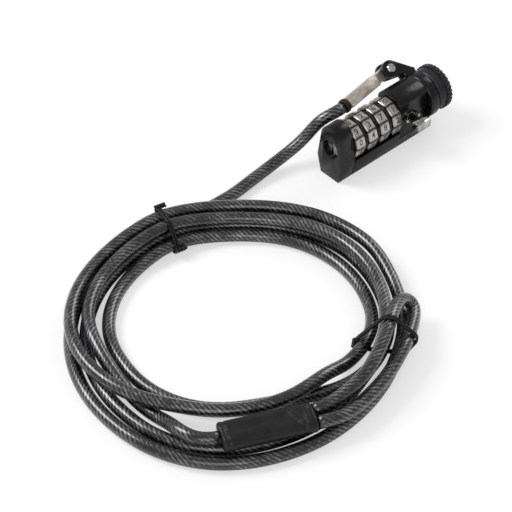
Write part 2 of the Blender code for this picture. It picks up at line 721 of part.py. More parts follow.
def build_detent_strip():
    """A leaf spring in the trough's groove, with a hump under each dial."""
    low = STRIP_SEAT - STRIP_THICKNESS
    start = BODY_START + SEAT_GAP
    end = DIALS_END
    line = [(start, low)]
    for index in range(DIAL_COUNT):
        middle = dial_start(index) + DIAL_WIDTH / 2
        line += [(middle - STRIP_HUMP_HALF_FOOT, low), (middle - STRIP_HUMP_HALF_TOP, low - STRIP_HUMP)]
        line += [(middle + STRIP_HUMP_HALF_TOP, low - STRIP_HUMP), (middle + STRIP_HUMP_HALF_FOOT, low)]
    line.append((end, low))
    outline = line + [(s, drop + STRIP_THICKNESS) for s, drop in reversed(line)]
    half = STRIP_WIDTH / 2
    strip = prism("detent_strip", [(s, -drop) for s, drop in outline], -half, half, DETENT_FRAME)
    finish(strip, BRIGHT_STEEL)


# --- Gears, washers and shafts ---------------------------------------------------------------------------
def gear_outline():
    """The teeth at the gear's wide end, from the pitch cone of 45 degrees."""
    root = GEAR_PITCH_RADIUS * math.tan(math.pi / 4 - GEAR_DEDENDUM)
    tip = GEAR_PITCH_RADIUS * math.tan(math.pi / 4 + GEAR_ADDENDUM)
    pitch = math.tau / GEAR_TEETH
    outline = []
    for tooth in range(GEAR_TEETH):
        middle = GEAR_PHASE + tooth * pitch
        for radius, side, share in (
            (root, -1, GEAR_ROOT_SHARE),
            (tip, -1, GEAR_TIP_SHARE),
            (tip, 1, GEAR_TIP_SHARE),
            (root, 1, GEAR_ROOT_SHARE),
        ):
            angle = middle + side * share * pitch / 2
            outline.append((radius * math.cos(angle), radius * math.sin(angle)))
    return outline


def build_gear(name, parent):
    """A miter gear whose teeth shrink towards the apex, which is the frame's origin."""
    small = GEAR_PITCH_RADIUS - GEAR_FACE_WIDTH
    gear = prism(name, gear_outline(), small, GEAR_PITCH_RADIUS, parent)
    for vertex in gear.data.vertices:
        scale = (vertex.co.z + gear.location.z) / GEAR_PITCH_RADIUS
        vertex.co.x *= scale
        vertex.co.y *= scale
    hub_end = GEAR_PITCH_RADIUS + GEAR_HUB_LENGTH
    hub_start = GEAR_PITCH_RADIUS - OVERLAP
    join(gear, cylinder(f"{name}_hub", GEAR_HUB_RADIUS, hub_start, hub_end, parent, segments=24))
    bore = GEAR_NECK_RADIUS + SEAT_GAP
    cut(gear, cylinder(f"{name}_bore", bore, 0, hub_end + CUT_PAST, parent, segments=16))
    finish(gear, BRASS)


WASHER_START = GEAR_PITCH_RADIUS + GEAR_HUB_LENGTH + SEAT_GAP
NECK_TIP = GEAR_PITCH_RADIUS - GEAR_FACE_WIDTH


def build_washer(name, shaft_radius, parent):
    start = WASHER_START
    end = WASHER_START + WASHER_THICKNESS
    bore = shaft_radius + SEAT_GAP
    profile = [(bore, end), (WASHER_RADIUS, end), (WASHER_RADIUS, start), (bore, start), (bore, end)]
    finish(turned(name, profile, parent), DULL_STEEL)


def build_drive():
    end = KNOB_START + KNOB_SHAFT_SEAT - SEAT_GAP - TBAR_STATION
    profile = [
        (0, end),
        (SHAFT_RADIUS, end),
        (SHAFT_RADIUS, WASHER_START),
        (GEAR_NECK_RADIUS, WASHER_START),
        (GEAR_NECK_RADIUS, NECK_TIP),
        (0, NECK_TIP),
    ]
    finish(turned("drive_shaft", profile, GEAR_APEX), BRIGHT_STEEL)
    build_gear("drive_gear", GEAR_APEX)
    build_washer("drive_washer", SHAFT_RADIUS, GEAR_APEX)


def build_tbar():
    stem = [
        (0, TBAR_HEAD_NEAR + OVERLAP),
        (TBAR_STEM_RADIUS, TBAR_HEAD_NEAR + OVERLAP),
        (TBAR_STEM_RADIUS, WASHER_START),
        (GEAR_NECK_RADIUS, WASHER_START),
        (GEAR_NECK_RADIUS, NECK_TIP),
        (0, NECK_TIP),
    ]
    half_length = TBAR_HEAD_LENGTH / 2
    half_height = TBAR_HEAD_HEIGHT / 2
    head_far = TBAR_HEAD_NEAR + TBAR_HEAD_THICKNESS
    head = box(
        "tbar", (-half_length, -half_height, TBAR_HEAD_NEAR), (half_length, half_height, head_far), TBAR_AXIS
    )
    round_edges(head, TBAR_BEVEL)
    join(head, turned("tbar_stem", stem, TBAR_AXIS, steps=24))
    finish(head, CHROME)
    build_gear("tbar_gear", TBAR_AXIS)
    build_washer("tbar_washer", TBAR_STEM_RADIUS, TBAR_AXIS)


def build_tbar_bush():
    """A plain sleeve that lines the T-bar's bore and stands a little out of the seat."""
    start = CHAMBER_HALF
    end = PAD_REACH + BUSH_REACH
    bore = TBAR_STEM_RADIUS + SEAT_GAP
    profile = [(bore, end), (BUSH_RADIUS, end), (BUSH_RADIUS, start), (bore, start), (bore, end)]
    finish(turned("tbar_bush", profile, TBAR_AXIS), CHROME)


def build_guide_pins():
    start = PAD_REACH - GUIDE_PIN_DEPTH + SEAT_GAP
    end = PAD_REACH + GUIDE_PIN_REACH
    for number, side in ((1, -1), (2, 1)):
        at = (side * GUIDE_PIN_OFFSET, 0)
        pin = cylinder(f"guide_pin_{number}", GUIDE_PIN_RADIUS, start, end, TBAR_AXIS, at, segments=16)
        round_edges(pin, GUIDE_PIN_RADIUS / 3, 1)
        finish(pin, CHROME)


def build_stop_pin():
    start = NECK_END - STOP_PIN_DEPTH + SEAT_GAP
    pin = cylinder(
        "stop_pin", STOP_PIN_RADIUS, start, NECK_END + STOP_PIN_REACH, BARREL, stop_pin_at(), segments=16
    )
    finish(pin, BRIGHT_STEEL)


def build_bottom_cover():
    middle = TBAR_STATION - ORIGIN_FROM_FACE
    cover = box(
        "bottom_cover",
        (middle - COVER_HALF_LENGTH, -COVER_HALF_WIDTH, COVER_RECESS),
        (middle + COVER_HALF_LENGTH, COVER_HALF_WIDTH, COVER_RECESS + COVER_THICKNESS),
        TABLE,
    )
    for number, side in ((1, -1), (2, 1)):
        at = cover_screw_at(side)
        name = f"cover_screw_{number}"
        top = COVER_RECESS + COVER_THICKNESS + CUT_PAST
        cut(cover, cylinder(f"{name}_hole", SCREW_HOLE_RADIUS, 0, top, TABLE, at, segments=12))
        seat = COVER_RECESS + COVER_SCREW_HEAD_LENGTH + SEAT_GAP
        sink = COVER_SCREW_HEAD_RADIUS + SEAT_GAP
        cut(cover, cylinder(f"{name}_sink", sink, -CUT_PAST, seat, TABLE, at, segments=16))
        build_cover_screw(name, at)
    finish(cover, GLOSS_BLACK)


def build_cover_screw(name, at):
    head_top = COVER_RECESS + COVER_SCREW_HEAD_LENGTH
    screw = cylinder(name, COVER_SCREW_HEAD_RADIUS, COVER_RECESS, head_top, TABLE, at, segments=16)
    shank_top = COVER_RECESS + COVER_SCREW_LENGTH
    start = head_top - OVERLAP
    join(screw, cylinder(f"{name}_shank", COVER_SCREW_RADIUS, start, shank_top, TABLE, at, segments=12))
    finish(screw, BRIGHT_STEEL)


# --- Knob -------------------------------------------------------------------------------------------
def ribbed_circle():
    outline = []
    for rib in range(KNOB_RIBS):
        for share, radius in ((0.0, KNOB_RADIUS - KNOB_RIB_DEPTH), (0.25, KNOB_RADIUS), (0.7, KNOB_RADIUS)):
            angle = math.tau * (rib + share) / KNOB_RIBS
            outline.append((radius * math.cos(angle), radius * math.sin(angle)))
    return outline


def build_knob():
    end = KNOB_START + KNOB_LENGTH
    rim_start = end - KNOB_RIM_LENGTH
    knob = prism("knob", ribbed_circle(), rim_start, end, BARREL)
    band = [
        (0, rim_start + OVERLAP),
        (KNOB_BAND_RADIUS, rim_start + OVERLAP),
        (KNOB_BAND_RADIUS, KNOB_START + KNOB_EDGE),
        (KNOB_BAND_RADIUS - KNOB_EDGE, KNOB_START),
        (0, KNOB_START),
    ]
    join(knob, turned("knob_band", band, BARREL, steps=64))
    cut(knob, cylinder("knob_dish", KNOB_DISH_RADIUS, end - KNOB_DISH_DEPTH, end + CUT_PAST, BARREL))
    seat_end = KNOB_START + KNOB_SHAFT_SEAT
    cut(knob, cylinder("knob_seat", SHAFT_BORE, KNOB_START - CUT_PAST, seat_end, BARREL))
    cut(knob, stop_groove())
    finish(knob, BLACK_METAL)


def stop_groove():
    """An arc groove that lets the knob turn by its range past the stop pin, and no more."""
    half_width = STOP_PIN_RADIUS + SEAT_GAP
    spare = half_width / STOP_PIN_ORBIT
    start = STOP_PIN_ANGLE - KNOB_TURN - spare
    sweep = KNOB_TURN + 2 * spare
    outer = circle(STOP_PIN_ORBIT + half_width, STOP_GROOVE_STEPS, start=start, turn=sweep)
    inner = circle(STOP_PIN_ORBIT - half_width, STOP_GROOVE_STEPS, start=start, turn=sweep)
    floor = NECK_END + STOP_PIN_REACH + SEAT_GAP
    return prism("stop_groove", outer + inner[::-1], KNOB_START - CUT_PAST, floor, BARREL)


# --- Swivel ring, rivet and ferrule ------------------------------------------------------------------------
RING_START = BODY_END + SEAT_GAP
RING_END = RING_START + RING_LENGTH
RIVET_HOLE = RIVET_RADIUS + SEAT_GAP


def build_swivel_ring():
    inner = NECK_RADIUS + SEAT_GAP
    edge = RING_RADIUS - RING_BEVEL
    profile = [
        (inner, RING_END),
        (edge, RING_END),
        (RING_RADIUS, RING_END - RING_BEVEL),
        (RING_RADIUS, RING_START + RING_BEVEL),
        (edge, RING_START),
        (inner, RING_START),
        (inner, RING_END),
    ]
    ring = turned("swivel_ring", profile, SWIVEL_BARREL, steps=48)
    for side in (-1, 1):
        near = side * EAR_GAP / 2
        far = side * (EAR_GAP / 2 + EAR_THICKNESS)
        rim = circle(EAR_RADIUS, EAR_STEPS, (RIVET_STATION, RIVET_ORBIT))
        arm = rim + [(RING_START, EAR_SLANT_ORBIT), (RING_END, EAR_SLANT_ORBIT)]
        foot = [
            (RING_START, EAR_FOOT_ORBIT),
            (RING_END, EAR_FOOT_ORBIT),
            (RING_START, EAR_SLANT_ORBIT + OVERLAP),
            (RING_END, EAR_SLANT_ORBIT + OVERLAP),
        ]
        ear = hull(f"ear_arm_{side}", [(s, y, z) for y in (near, far) for s, z in arm], SWIVEL)
        join(ring, ear)
        join(ring, hull(f"ear_foot_{side}", [(s, y, z) for y in (near, far) for s, z in foot], SWIVEL))
    half = EAR_GAP / 2 + EAR_THICKNESS + CUT_PAST
    hole = cylinder("ear_hole", RIVET_HOLE, -half, half, RIVET_PIN, segments=24)
    cut(ring, hole)
    finish(ring, GLOSS_BLACK)


def build_rivet():
    face = EAR_GAP / 2 + EAR_THICKNESS + SEAT_GAP
    end = face + RIVET_HEAD_LENGTH
    profile = [
        (0, end),
        (RIVET_HEAD_RADIUS - RIVET_HEAD_LENGTH / 2, end),
        (RIVET_HEAD_RADIUS, face + RIVET_HEAD_LENGTH / 3),
        (RIVET_HEAD_RADIUS, face),
        (RIVET_RADIUS, face),
    ]
    profile += [(radius, -height) for radius, height in reversed(profile)]
    finish(turned("rivet", profile, RIVET_PIN, steps=24), CHROME)


def build_ferrule():
    """The crimped end of the cable: a flat tongue between the ears and a square-sided body."""
    half_width = FERRULE_WIDTH / 2
    half_height = FERRULE_HEIGHT / 2
    far = FERRULE_NEAR + FERRULE_LENGTH
    near_corner = (-half_height, -half_width, FERRULE_NEAR)
    ferrule = box("ferrule", near_corner, (half_height, half_width, far), FERRULE)
    round_edges(ferrule, FERRULE_BEVEL)
    half_tongue = EAR_GAP / 2 - SEAT_GAP
    sides = circle(TONGUE_RADIUS, EAR_STEPS)
    reach = FERRULE_NEAR + OVERLAP + FERRULE_BEVEL
    inset = half_height - FERRULE_BEVEL
    sides += [(-inset, reach), (inset, reach)]
    corners = [(x, y, z) for y in (-half_tongue, half_tongue) for x, z in sides]
    join(ferrule, hull("ferrule_tongue", corners, FERRULE))
    cut(ferrule, cylinder("tongue_hole", RIVET_HOLE, -half_width, half_width, RIVET_PIN, segments=24))
    finish(ferrule, WORN_NICKEL)
    collar = cylinder("cable_collar", COLLAR_RADIUS, far + SEAT_GAP, far + SEAT_GAP + COLLAR_LENGTH, FERRULE)
    round_edges(collar, SEAT_GAP)
    finish(collar, GLOSS_BLACK)


# --- Cable ------------------------------------------------------------------------------------------
CABLE_RADIUS = CABLE_DIAMETER / 2


def bracketing(keys, angle):
    """The index of the key at or before the angle, and how far along to the next the angle is."""
    index = max(i for i in range(len(keys) - 1) if i == 0 or keys[i][0] <= angle)
    return index, (angle - keys[index][0]) / (keys[index + 1][0] - keys[index][0])


def slope(keys, index):
    low = max(index - 1, 0)
    high = min(index + 1, len(keys) - 1)
    return (keys[high][1] - keys[low][1]) / (keys[high][0] - keys[low][0])


def coil_radius(angle):
    index, t = bracketing(COIL_KEYS, angle)
    (start, first, _), (end, second, _) = COIL_KEYS[index : index + 2]
    bend_in = (end - start) * slope(COIL_KEYS, index)
    bend_out = (end - start) * slope(COIL_KEYS, index + 1)
    value = (2 * t**3 - 3 * t**2 + 1) * first + (t**3 - 2 * t**2 + t) * bend_in
    return (value + (3 * t**2 - 2 * t**3) * second + (t**3 - t**2) * bend_out) * MM


def coil_layer(angle):
    index, t = bracketing(COIL_KEYS, angle)
    first, second = COIL_KEYS[index][2], COIL_KEYS[index + 1][2]
    return first + (second - first) * t * t * (3 - 2 * t)


def tie_lift(point):
    """How far the cable is held up here by the nearest tie's wire under it."""
    away = point - COIL_CENTRE
    angle = math.degrees(math.atan2(away.y, away.x) - COIL_BEARING)
    nearest = min(abs((angle - tie_angle + 180) % 360 - 180) for _, tie_angle, *_ in TIES)
    return TIE_LIFT * math.exp(-((nearest / TIE_LIFT_SPREAD) ** 2))


def lifted(point):
    return point + Vector((0, 0, tie_lift(point)))


def coil_point(angle):
    radius = coil_radius(angle)
    bearing = math.radians(angle) + COIL_BEARING
    height = CABLE_RADIUS + FLOOR_CLEARANCE + LAYER_RISE * coil_layer(angle)
    return lifted(COIL_CENTRE + Vector((radius * math.cos(bearing), radius * math.sin(bearing), height)))


def smooth_route(points, spacing):
    """Points at even spacing along the smooth curve through the given ones."""
    ends = [2 * points[0] - points[1]] + list(points) + [2 * points[-1] - points[-2]]
    fine = []
    for i in range(1, len(ends) - 2):
        before, first, second, after = ends[i - 1 : i + 3]
        for step in range(SMOOTH_STEPS):
            t = step / SMOOTH_STEPS
            fine.append(
                0.5
                * (
                    2 * first
                    + (second - before) * t
                    + (2 * before - 5 * first + 4 * second - after) * t**2
                    + (3 * first - before - 3 * second + after) * t**3
                )
            )
    fine.append(ends[-2])
    lengths = [0.0]
    for first, second in zip(fine, fine[1:]):
        lengths.append(lengths[-1] + (second - first).length)
    count = max(2, round(lengths[-1] / spacing))
    route = []
    index = 0
    for step in range(count + 1):
        wanted = lengths[-1] * step / count
        while index < len(fine) - 2 and lengths[index + 1] < wanted:
            index += 1
        share = (wanted - lengths[index]) / (lengths[index + 1] - lengths[index])
        route.append(fine[index].lerp(fine[index + 1], share))
    return route


def millimetres(points):
    return [Vector(point) * MM for point in points]


def ferrule_exit():
    """Where the lead leaves the collar, and its direction there."""
    bpy.context.view_layer.update()
    start = FERRULE_NEAR + FERRULE_LENGTH + COLLAR_LENGTH + 2 * SEAT_GAP
    matrix = FERRULE.matrix_world
    return matrix @ Vector((0, 0, start)), (matrix.to_3x3() @ Vector((0, 0, 1))).normalized()


def sleeve_port(along, across):
    """A point of the sleeve's end face, and the direction out of the sleeve there."""
    heading = Vector((math.cos(SLEEVE_HEADING), math.sin(SLEEVE_HEADING), 0))
    side = Vector((-heading.y, heading.x, 0))
    reach = SLEEVE_LENGTH / 2 + SEAT_GAP
    return SLEEVE_CENTRE + along * reach * heading + across * side, along * heading


def coil_route():
    step = 360 / TURN_STEPS
    first = COIL_KEYS[0][0]
    count = round((COIL_END_ANGLE - first) / step)
    turns = [coil_point(first + step * i) for i in range(count + 1)]
    port, outward = sleeve_port(-1, 0)
    tail = millimetres(TAIL_POINTS) + [port + CABLE_DIAMETER * outward, port]
    return turns + tail


def lead_route(coil):
    exit_point, outward = ferrule_exit()
    into_coil = (coil[1] - coil[0]).normalized()
    end = coil[0] - SEAT_GAP * into_coil
    points = [exit_point + CABLE_DIAMETER * outward]
    points += millimetres(LEAD_POINTS) + [end - CABLE_DIAMETER * into_coil]
    return [exit_point] + smooth_route(points, FREE_POINT_SPACING * CABLE_DIAMETER) + [end]


def eye_route():
    inner, outward = sleeve_port(1, LEG_SPACING / 2)
    outer, _ = sleeve_port(1, -LEG_SPACING / 2)
    points = [inner + CABLE_DIAMETER * outward]
    points += [lifted(point) for point in millimetres(EYE_POINTS)]
    points += [outer + CABLE_DIAMETER * outward]
    return [inner] + smooth_route(points, FREE_POINT_SPACING * CABLE_DIAMETER) + [outer]


def segment_gap(a, b, c, d):
    """The least distance between two straight stretches, read at points along them."""
    shares = [i / GAP_STEPS for i in range(GAP_STEPS + 1)]
    return min((a.lerp(b, s) - c.lerp(d, t)).length for s in shares for t in shares)


def least_gap(first, second, skip):
    """The least gap between two routes' tubes. Skip leaves out neighbouring stretches of one route."""
    least = math.inf
    for i in range(len(first) - 1):
        for j in range(len(second) - 1):
            if abs(i - j) < skip or (first[i] - second[j]).length > GAP_SEARCH:
                continue
            least = min(least, segment_gap(first[i], first[i + 1], second[j], second[j + 1]))
    return least - CABLE_DIAMETER


def build_cable():
    coil = coil_route()
    lead = lead_route(coil)
    eye = eye_route()
    finish(tube("cable_coil", coil, CABLE_RADIUS, 1), CABLE_PLASTIC)
    finish(tube("cable_lead", lead, CABLE_RADIUS, 2), CABLE_PLASTIC)
    finish(tube("cable_eye", eye, CABLE_RADIUS, 2), CABLE_PLASTIC)
    own = least_gap(coil, coil, TURN_STEPS // 4)
    print(f"least gap of the coil to itself {own / MM:.2f} mm, wanted {LEAST_SELF_GAP / MM:.2f} mm")
    print(f"least gap from the eye to the coil {least_gap(eye, coil, 0) / MM:.2f} mm")
    length = sum((b - a).length for route in (coil, lead, eye) for a, b in zip(route, route[1:]))
    print(f"cable length {length:.3f} m")


def build_sleeve():
    half = (SLEEVE_LENGTH / 2, SLEEVE_WIDTH / 2, SLEEVE_THICKNESS / 2)
    sleeve = box("crimp_sleeve", [-side for side in half], half, SLEEVE)
    round_edges(sleeve, SLEEVE_BEVEL, 3)
    finish(sleeve, GLOSS_BLACK)


def build_tie(name, angle, near, far, highest):
    """A wire loop, squarish in section, round the coil's strands at this angle."""
    reach = CABLE_RADIUS + TIE_CLEARANCE + TIE_WIRE_RADIUS
    bottom = TIE_WIRE_RADIUS + FLOOR_CLEARANCE
    top = highest + TIE_LIFT + reach
    middle = (near + far) / 2
    half_width = (far - near) / 2 + reach
    bearing = math.radians(angle) + COIL_BEARING
    outward = Vector((math.cos(bearing), math.sin(bearing), 0))
    points = []
    for x, y in circle(1, TIE_STEPS):
        across = math.copysign(abs(x) ** TIE_SQUARENESS, x) * half_width
        height = math.copysign(abs(y) ** TIE_SQUARENESS, y) * (top - bottom) / 2
        centre = COIL_CENTRE + outward * (middle + across)
        points.append(centre + Vector((0, 0, (top + bottom) / 2 + height)))
    finish(tube(name, points, TIE_WIRE_RADIUS, 1, closed=True), TIE_PLASTIC)


# --- Assembly ---------------------------------------------------------------------------------------
SWIVEL_BARREL = frame("swivel_barrel", (0, 0, 0), (0, math.pi / 2, 0), SWIVEL)
RIVET_PIN = frame("rivet_pin", (0, 0, 0), (-math.pi / 2, 0, 0), RIVET_AXIS)
DETENT_FRAME = frame("detent_side", (-ORIGIN_FROM_FACE, 0, AXIS_HEIGHT), (math.pi / 2, 0, 0))
SLEEVE = frame("sleeve_middle", SLEEVE_CENTRE, (0, 0, SLEEVE_HEADING))

build_lock_body()
build_end_cap()
build_reset_screw()
build_spindle()
build_detent_strip()
for number in range(DIAL_COUNT):
    build_dial(number)
    build_hub(number)
for number in range(DIAL_COUNT - 1):
    build_spacer(number)
build_drive()
build_tbar()
build_tbar_bush()
build_guide_pins()
build_stop_pin()
build_bottom_cover()
build_knob()
build_swivel_ring()
build_rivet()
build_ferrule()
build_cable()
build_sleeve()
for tie in TIES:
    build_tie(*tie)
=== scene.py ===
"""Looks, cable, numbers and stage for the laptop cable lock, in metres and in the CAD model's own frame."""

import math

import bmesh
import bpy
from mathutils import Matrix, Vector


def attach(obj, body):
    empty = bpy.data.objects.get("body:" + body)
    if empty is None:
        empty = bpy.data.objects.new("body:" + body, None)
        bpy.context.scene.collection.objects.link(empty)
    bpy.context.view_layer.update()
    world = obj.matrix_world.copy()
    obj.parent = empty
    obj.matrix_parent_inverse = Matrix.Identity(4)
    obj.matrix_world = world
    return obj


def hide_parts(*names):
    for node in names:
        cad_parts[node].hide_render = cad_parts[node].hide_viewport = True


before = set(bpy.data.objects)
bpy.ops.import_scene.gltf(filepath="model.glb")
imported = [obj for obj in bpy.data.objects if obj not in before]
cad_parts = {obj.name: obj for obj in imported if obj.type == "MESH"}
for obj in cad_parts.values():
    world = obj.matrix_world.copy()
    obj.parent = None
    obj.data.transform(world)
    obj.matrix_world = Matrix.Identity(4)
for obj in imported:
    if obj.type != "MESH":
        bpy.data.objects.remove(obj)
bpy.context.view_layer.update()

MM = 0.001

# --- Camera -----------------------------------------------------------------------------------------
CAMERA_PLACE = Vector((-0.3910, -0.3699, 0.4724))
CAMERA_TARGET = Vector((-0.0693, -0.0127, 0.0))
CAMERA_LENS = 135  # in mm, as the sensor's width
CAMERA_SENSOR = 36

camera_data = bpy.data.cameras.new("Camera")
camera_data.lens = CAMERA_LENS
camera_data.sensor_width = CAMERA_SENSOR
camera = bpy.data.objects.new("Camera", camera_data)
bpy.context.scene.collection.objects.link(camera)
camera.location = CAMERA_PLACE
camera.rotation_euler = (CAMERA_TARGET - CAMERA_PLACE).to_track_quat("-Z", "Y").to_euler()
bpy.context.scene.camera = camera


# --- Cable route, as in the CAD model -----------------------------------------------------------------
CABLE_DIAMETER = 4.6 * MM
CABLE_RADIUS = CABLE_DIAMETER / 2
COIL_CENTRE = Vector((-99.6 * MM, -36.3 * MM, 0))
COIL_BEARING = math.radians(-42)
LAYER_RISE = 5.1 * MM  # from one layer of the coil to the next
FLOOR_CLEARANCE = 0.02 * MM
SEAT_GAP = 0.3 * MM
# Angle round the coil in degrees, distance from its centre in mm, and layer.
COIL_KEYS = (
    (108, 56.3, 0), (135, 55.7, 0), (180, 55.7, 0), (225, 56.9, 0), (243, 58.0, 0), (262, 58.2, 0),
    (290, 56.0, 0), (320, 54.2, 0), (345, 55.0, 0), (362, 56.6, 0), (378, 57.6, 0.3), (396, 58.8, 1),
    (420, 58.3, 1), (445, 55.9, 1), (495, 55.2, 1), (540, 55.6, 1), (563, 52.4, 1), (585, 47.2, 1),
    (603, 42.6, 1), (620, 40.9, 1), (635, 39.7, 1), (662, 38.4, 1), (680, 37.8, 1), (694, 39.6, 0),
    (708, 43.4, 0), (722, 46.0, 0), (740, 47.1, 0), (765, 47.7, 0), (785, 47.4, 0), (805, 46.2, 0),
    (855, 45.2, 0), (900, 43.0, 0), (922, 40.3, 0), (942, 38.9, 0), (972, 36.6, 0), (995, 34.6, 0),
    (1012, 34.6, 0), (1030, 38.3, 0), (1046, 44.2, 0), (1062, 49.0, 0), (1082, 51.4, 0), (1108, 52.9, 0),
    (1128, 53.9, 0), (1165, 51.6, 0), (1215, 50.4, 0), (1260, 50.4, 0), (1305, 51.5, 0), (1323, 52.8, 0),
    (1338, 52.7, 0), (1350, 51.8, 0), (1372, 49.7, 0), (1386, 48.9, 0), (1410, 48.9, 1), (1424, 49.8, 1),
    (1442, 50.4, 1), (1485, 52.8, 1), (1525, 49.6, 1), (1575, 50.1, 1), (1618, 49.8, 1), (1636, 47.0, 1),
    (1650, 45.2, 0.42), (1663, 45.2, 0), (1678, 46.0, 0),
)
COIL_END_ANGLE = 1668
COIL_ANGLE_STEP = 12
# From the coil to the sleeve, from the ferrule to the coil, and round the eye, in mm.
TAIL_POINTS = (
    (-144.3, -46.3, 2.35), (-143.9, -50.0, 2.7), (-144.0, -53.4, 4.4), (-144.9, -56.6, 6.9),
    (-145.5, -60.6, 7.8), (-144.9, -65.0, 8.0),
)
LEAD_POINTS = (
    (-15.2, 10.5, 18.9), (-17.8, 12.0, 15.5), (-20.6, 13.0, 11.5), (-23.6, 14.0, 8.6), (-27.6, 15.0, 6.3),
    (-32.0, 15.7, 4.7), (-36.7, 15.9, 3.6), (-41.6, 16.0, 2.8), (-46.7, 15.7, 2.4), (-52.1, 15.1, 2.35),
    (-57.4, 14.6, 2.35),
)
EYE_POINTS = (
    (-100.8, -85.4, 9.2), (-97.6, -86.0, 10.4), (-94.4, -86.6, 11.6), (-90.9, -86.7, 12.3),
    (-86.6, -85.8, 12.6), (-81.7, -84.0, 12.8), (-76.7, -81.7, 12.8), (-71.7, -79.0, 12.8),
    (-66.6, -75.7, 12.8), (-61.5, -72.5, 12.5), (-56.8, -69.9, 11.8), (-52.4, -68.3, 10.4),
    (-49.5, -70.6, 7.0), (-51.6, -73.1, 6.3), (-54.2, -75.2, 6.1), (-60.0, -79.3, 6.4),
    (-67.2, -83.5, 7.1), (-73.1, -85.9, 7.3), (-78.9, -88.0, 7.5), (-84.5, -89.4, 7.5),
    (-90.0, -90.2, 7.5), (-95.1, -91.0, 7.5), (-100.1, -91.4, 7.6),
)
SLEEVE_LENGTH = 31.2 * MM
SLEEVE_CENTRE = Vector((-123.8 * MM, -78.7 * MM, 8.15 * MM))
SLEEVE_HEADING = math.radians(-25.7)
LEG_SPACING = 5.4 * MM
AXIS_HEIGHT = 13.5 * MM  # of the dials' axis above the table
SWIVEL_ANGLE = math.radians(40)
FERRULE_TILT = math.radians(7.5)
RIVET_ORBIT = 13.9 * MM  # from the dials' axis
RIVET_STATION = 16.9 * MM
RIVET = Vector((RIVET_STATION, 0, AXIS_HEIGHT)) + RIVET_ORBIT * Vector(
    (0, math.cos(SWIVEL_ANGLE), math.sin(SWIVEL_ANGLE))
)
CABLE_START = 25.2 * MM  # along the ferrule, from the rivet
# Each tie's angle round the coil, and whether its wire is also crossed on the outer rim.
TIES = (("tie_1", 119.0, True), ("tie_2", 350.5, False))
TIE_LIFT = 2.0 * MM  # of the cable over a tie's wire
TIE_LIFT_SPREAD = 14.0  # degrees round the coil
SMOOTH_STEPS = 16
ROUTE_STEP = 2.0 * MM
RELAX_ROUNDS = 8
TUBE_SIDES = 18


def bracketing(angle):
    """The key before this angle, and how far the angle is on the way to the next one."""
    index = max(i for i in range(len(COIL_KEYS) - 1) if i == 0 or COIL_KEYS[i][0] <= angle)
    return index, (angle - COIL_KEYS[index][0]) / (COIL_KEYS[index + 1][0] - COIL_KEYS[index][0])


def slope(index):
    """How fast the coil's radius changes at this key."""
    low = max(index - 1, 0)
    high = min(index + 1, len(COIL_KEYS) - 1)
    return (COIL_KEYS[high][1] - COIL_KEYS[low][1]) / (COIL_KEYS[high][0] - COIL_KEYS[low][0])


def tie_lift(point):
    """How far the cable is held up here by the nearest tie's wire under it."""
    away = point - COIL_CENTRE
    angle = math.degrees(math.atan2(away.y, away.x) - COIL_BEARING)
    nearest = min(abs((angle - tie_angle + 180) % 360 - 180) for _, tie_angle, _ in TIES)
    return TIE_LIFT * math.exp(-((nearest / TIE_LIFT_SPREAD) ** 2))


def lifted(point):
    return point + Vector((0, 0, tie_lift(point)))


def coil_point(angle):
    index, t = bracketing(angle)
    (start, first, low), (end, second, high) = COIL_KEYS[index : index + 2]
    span = end - start
    radius = (2 * t**3 - 3 * t**2 + 1) * first + (t**3 - 2 * t**2 + t) * span * slope(index)
    radius += (3 * t**2 - 2 * t**3) * second + (t**3 - t**2) * span * slope(index + 1)
    layer = low + (high - low) * t * t * (3 - 2 * t)
    bearing = math.radians(angle) + COIL_BEARING
    height = CABLE_RADIUS + FLOOR_CLEARANCE + LAYER_RISE * layer
    flat = Vector((math.cos(bearing), math.sin(bearing), 0)) * radius * MM
    return lifted(COIL_CENTRE + flat + Vector((0, 0, height)))


def millimetres(points):
    return [Vector(point) * MM for point in points]


def smooth_route(points, spacing):
    """Points at even spacing along the smooth curve through the given ones."""
    ends = [2 * points[0] - points[1]] + list(points) + [2 * points[-1] - points[-2]]
    fine = []
    for i in range(1, len(ends) - 2):
        before, first, second, after = ends[i - 1 : i + 3]
        for step in range(SMOOTH_STEPS):
            t = step / SMOOTH_STEPS
            fine.append(
                0.5
                * (
                    2 * first
                    + (second - before) * t
                    + (2 * before - 5 * first + 4 * second - after) * t**2
                    + (3 * first - before - 3 * second + after) * t**3
                )
            )
    fine.append(ends[-2])
    lengths = [0.0]
    for first, second in zip(fine, fine[1:]):
        lengths.append(lengths[-1] + (second - first).length)
    count = max(2, round(lengths[-1] / spacing))
    route = []
    index = 0
    for step in range(count + 1):
        wanted = lengths[-1] * step / count
        while index < len(fine) - 2 and lengths[index + 1] < wanted:
            index += 1
        share = (wanted - lengths[index]) / (lengths[index + 1] - lengths[index])
        route.append(fine[index].lerp(fine[index + 1], share))
    return route


def relaxed(points, rounds):
    """The route with its small wobbles evened out, its ends kept."""
    for _ in range(rounds):
        middle = [(a + 2 * b + c) / 4 for a, b, c in zip(points, points[1:], points[2:])]
        points = points[:1] + middle + points[-1:]
    return points


def ferrule_direction():
    tilt_in = math.sin(FERRULE_TILT)
    return Vector(
        (-math.cos(FERRULE_TILT), -tilt_in * math.cos(SWIVEL_ANGLE), -tilt_in * math.sin(SWIVEL_ANGLE))
    )


def sleeve_port(along, across):
    """A cable's place at one end of the sleeve, and the way out of it. Along is -1 or 1."""
    heading = Vector((math.cos(SLEEVE_HEADING), math.sin(SLEEVE_HEADING), 0))
    side = Vector((-heading.y, heading.x, 0))
    return SLEEVE_CENTRE + along * (SLEEVE_LENGTH / 2 + SEAT_GAP) * heading + across * side, along * heading


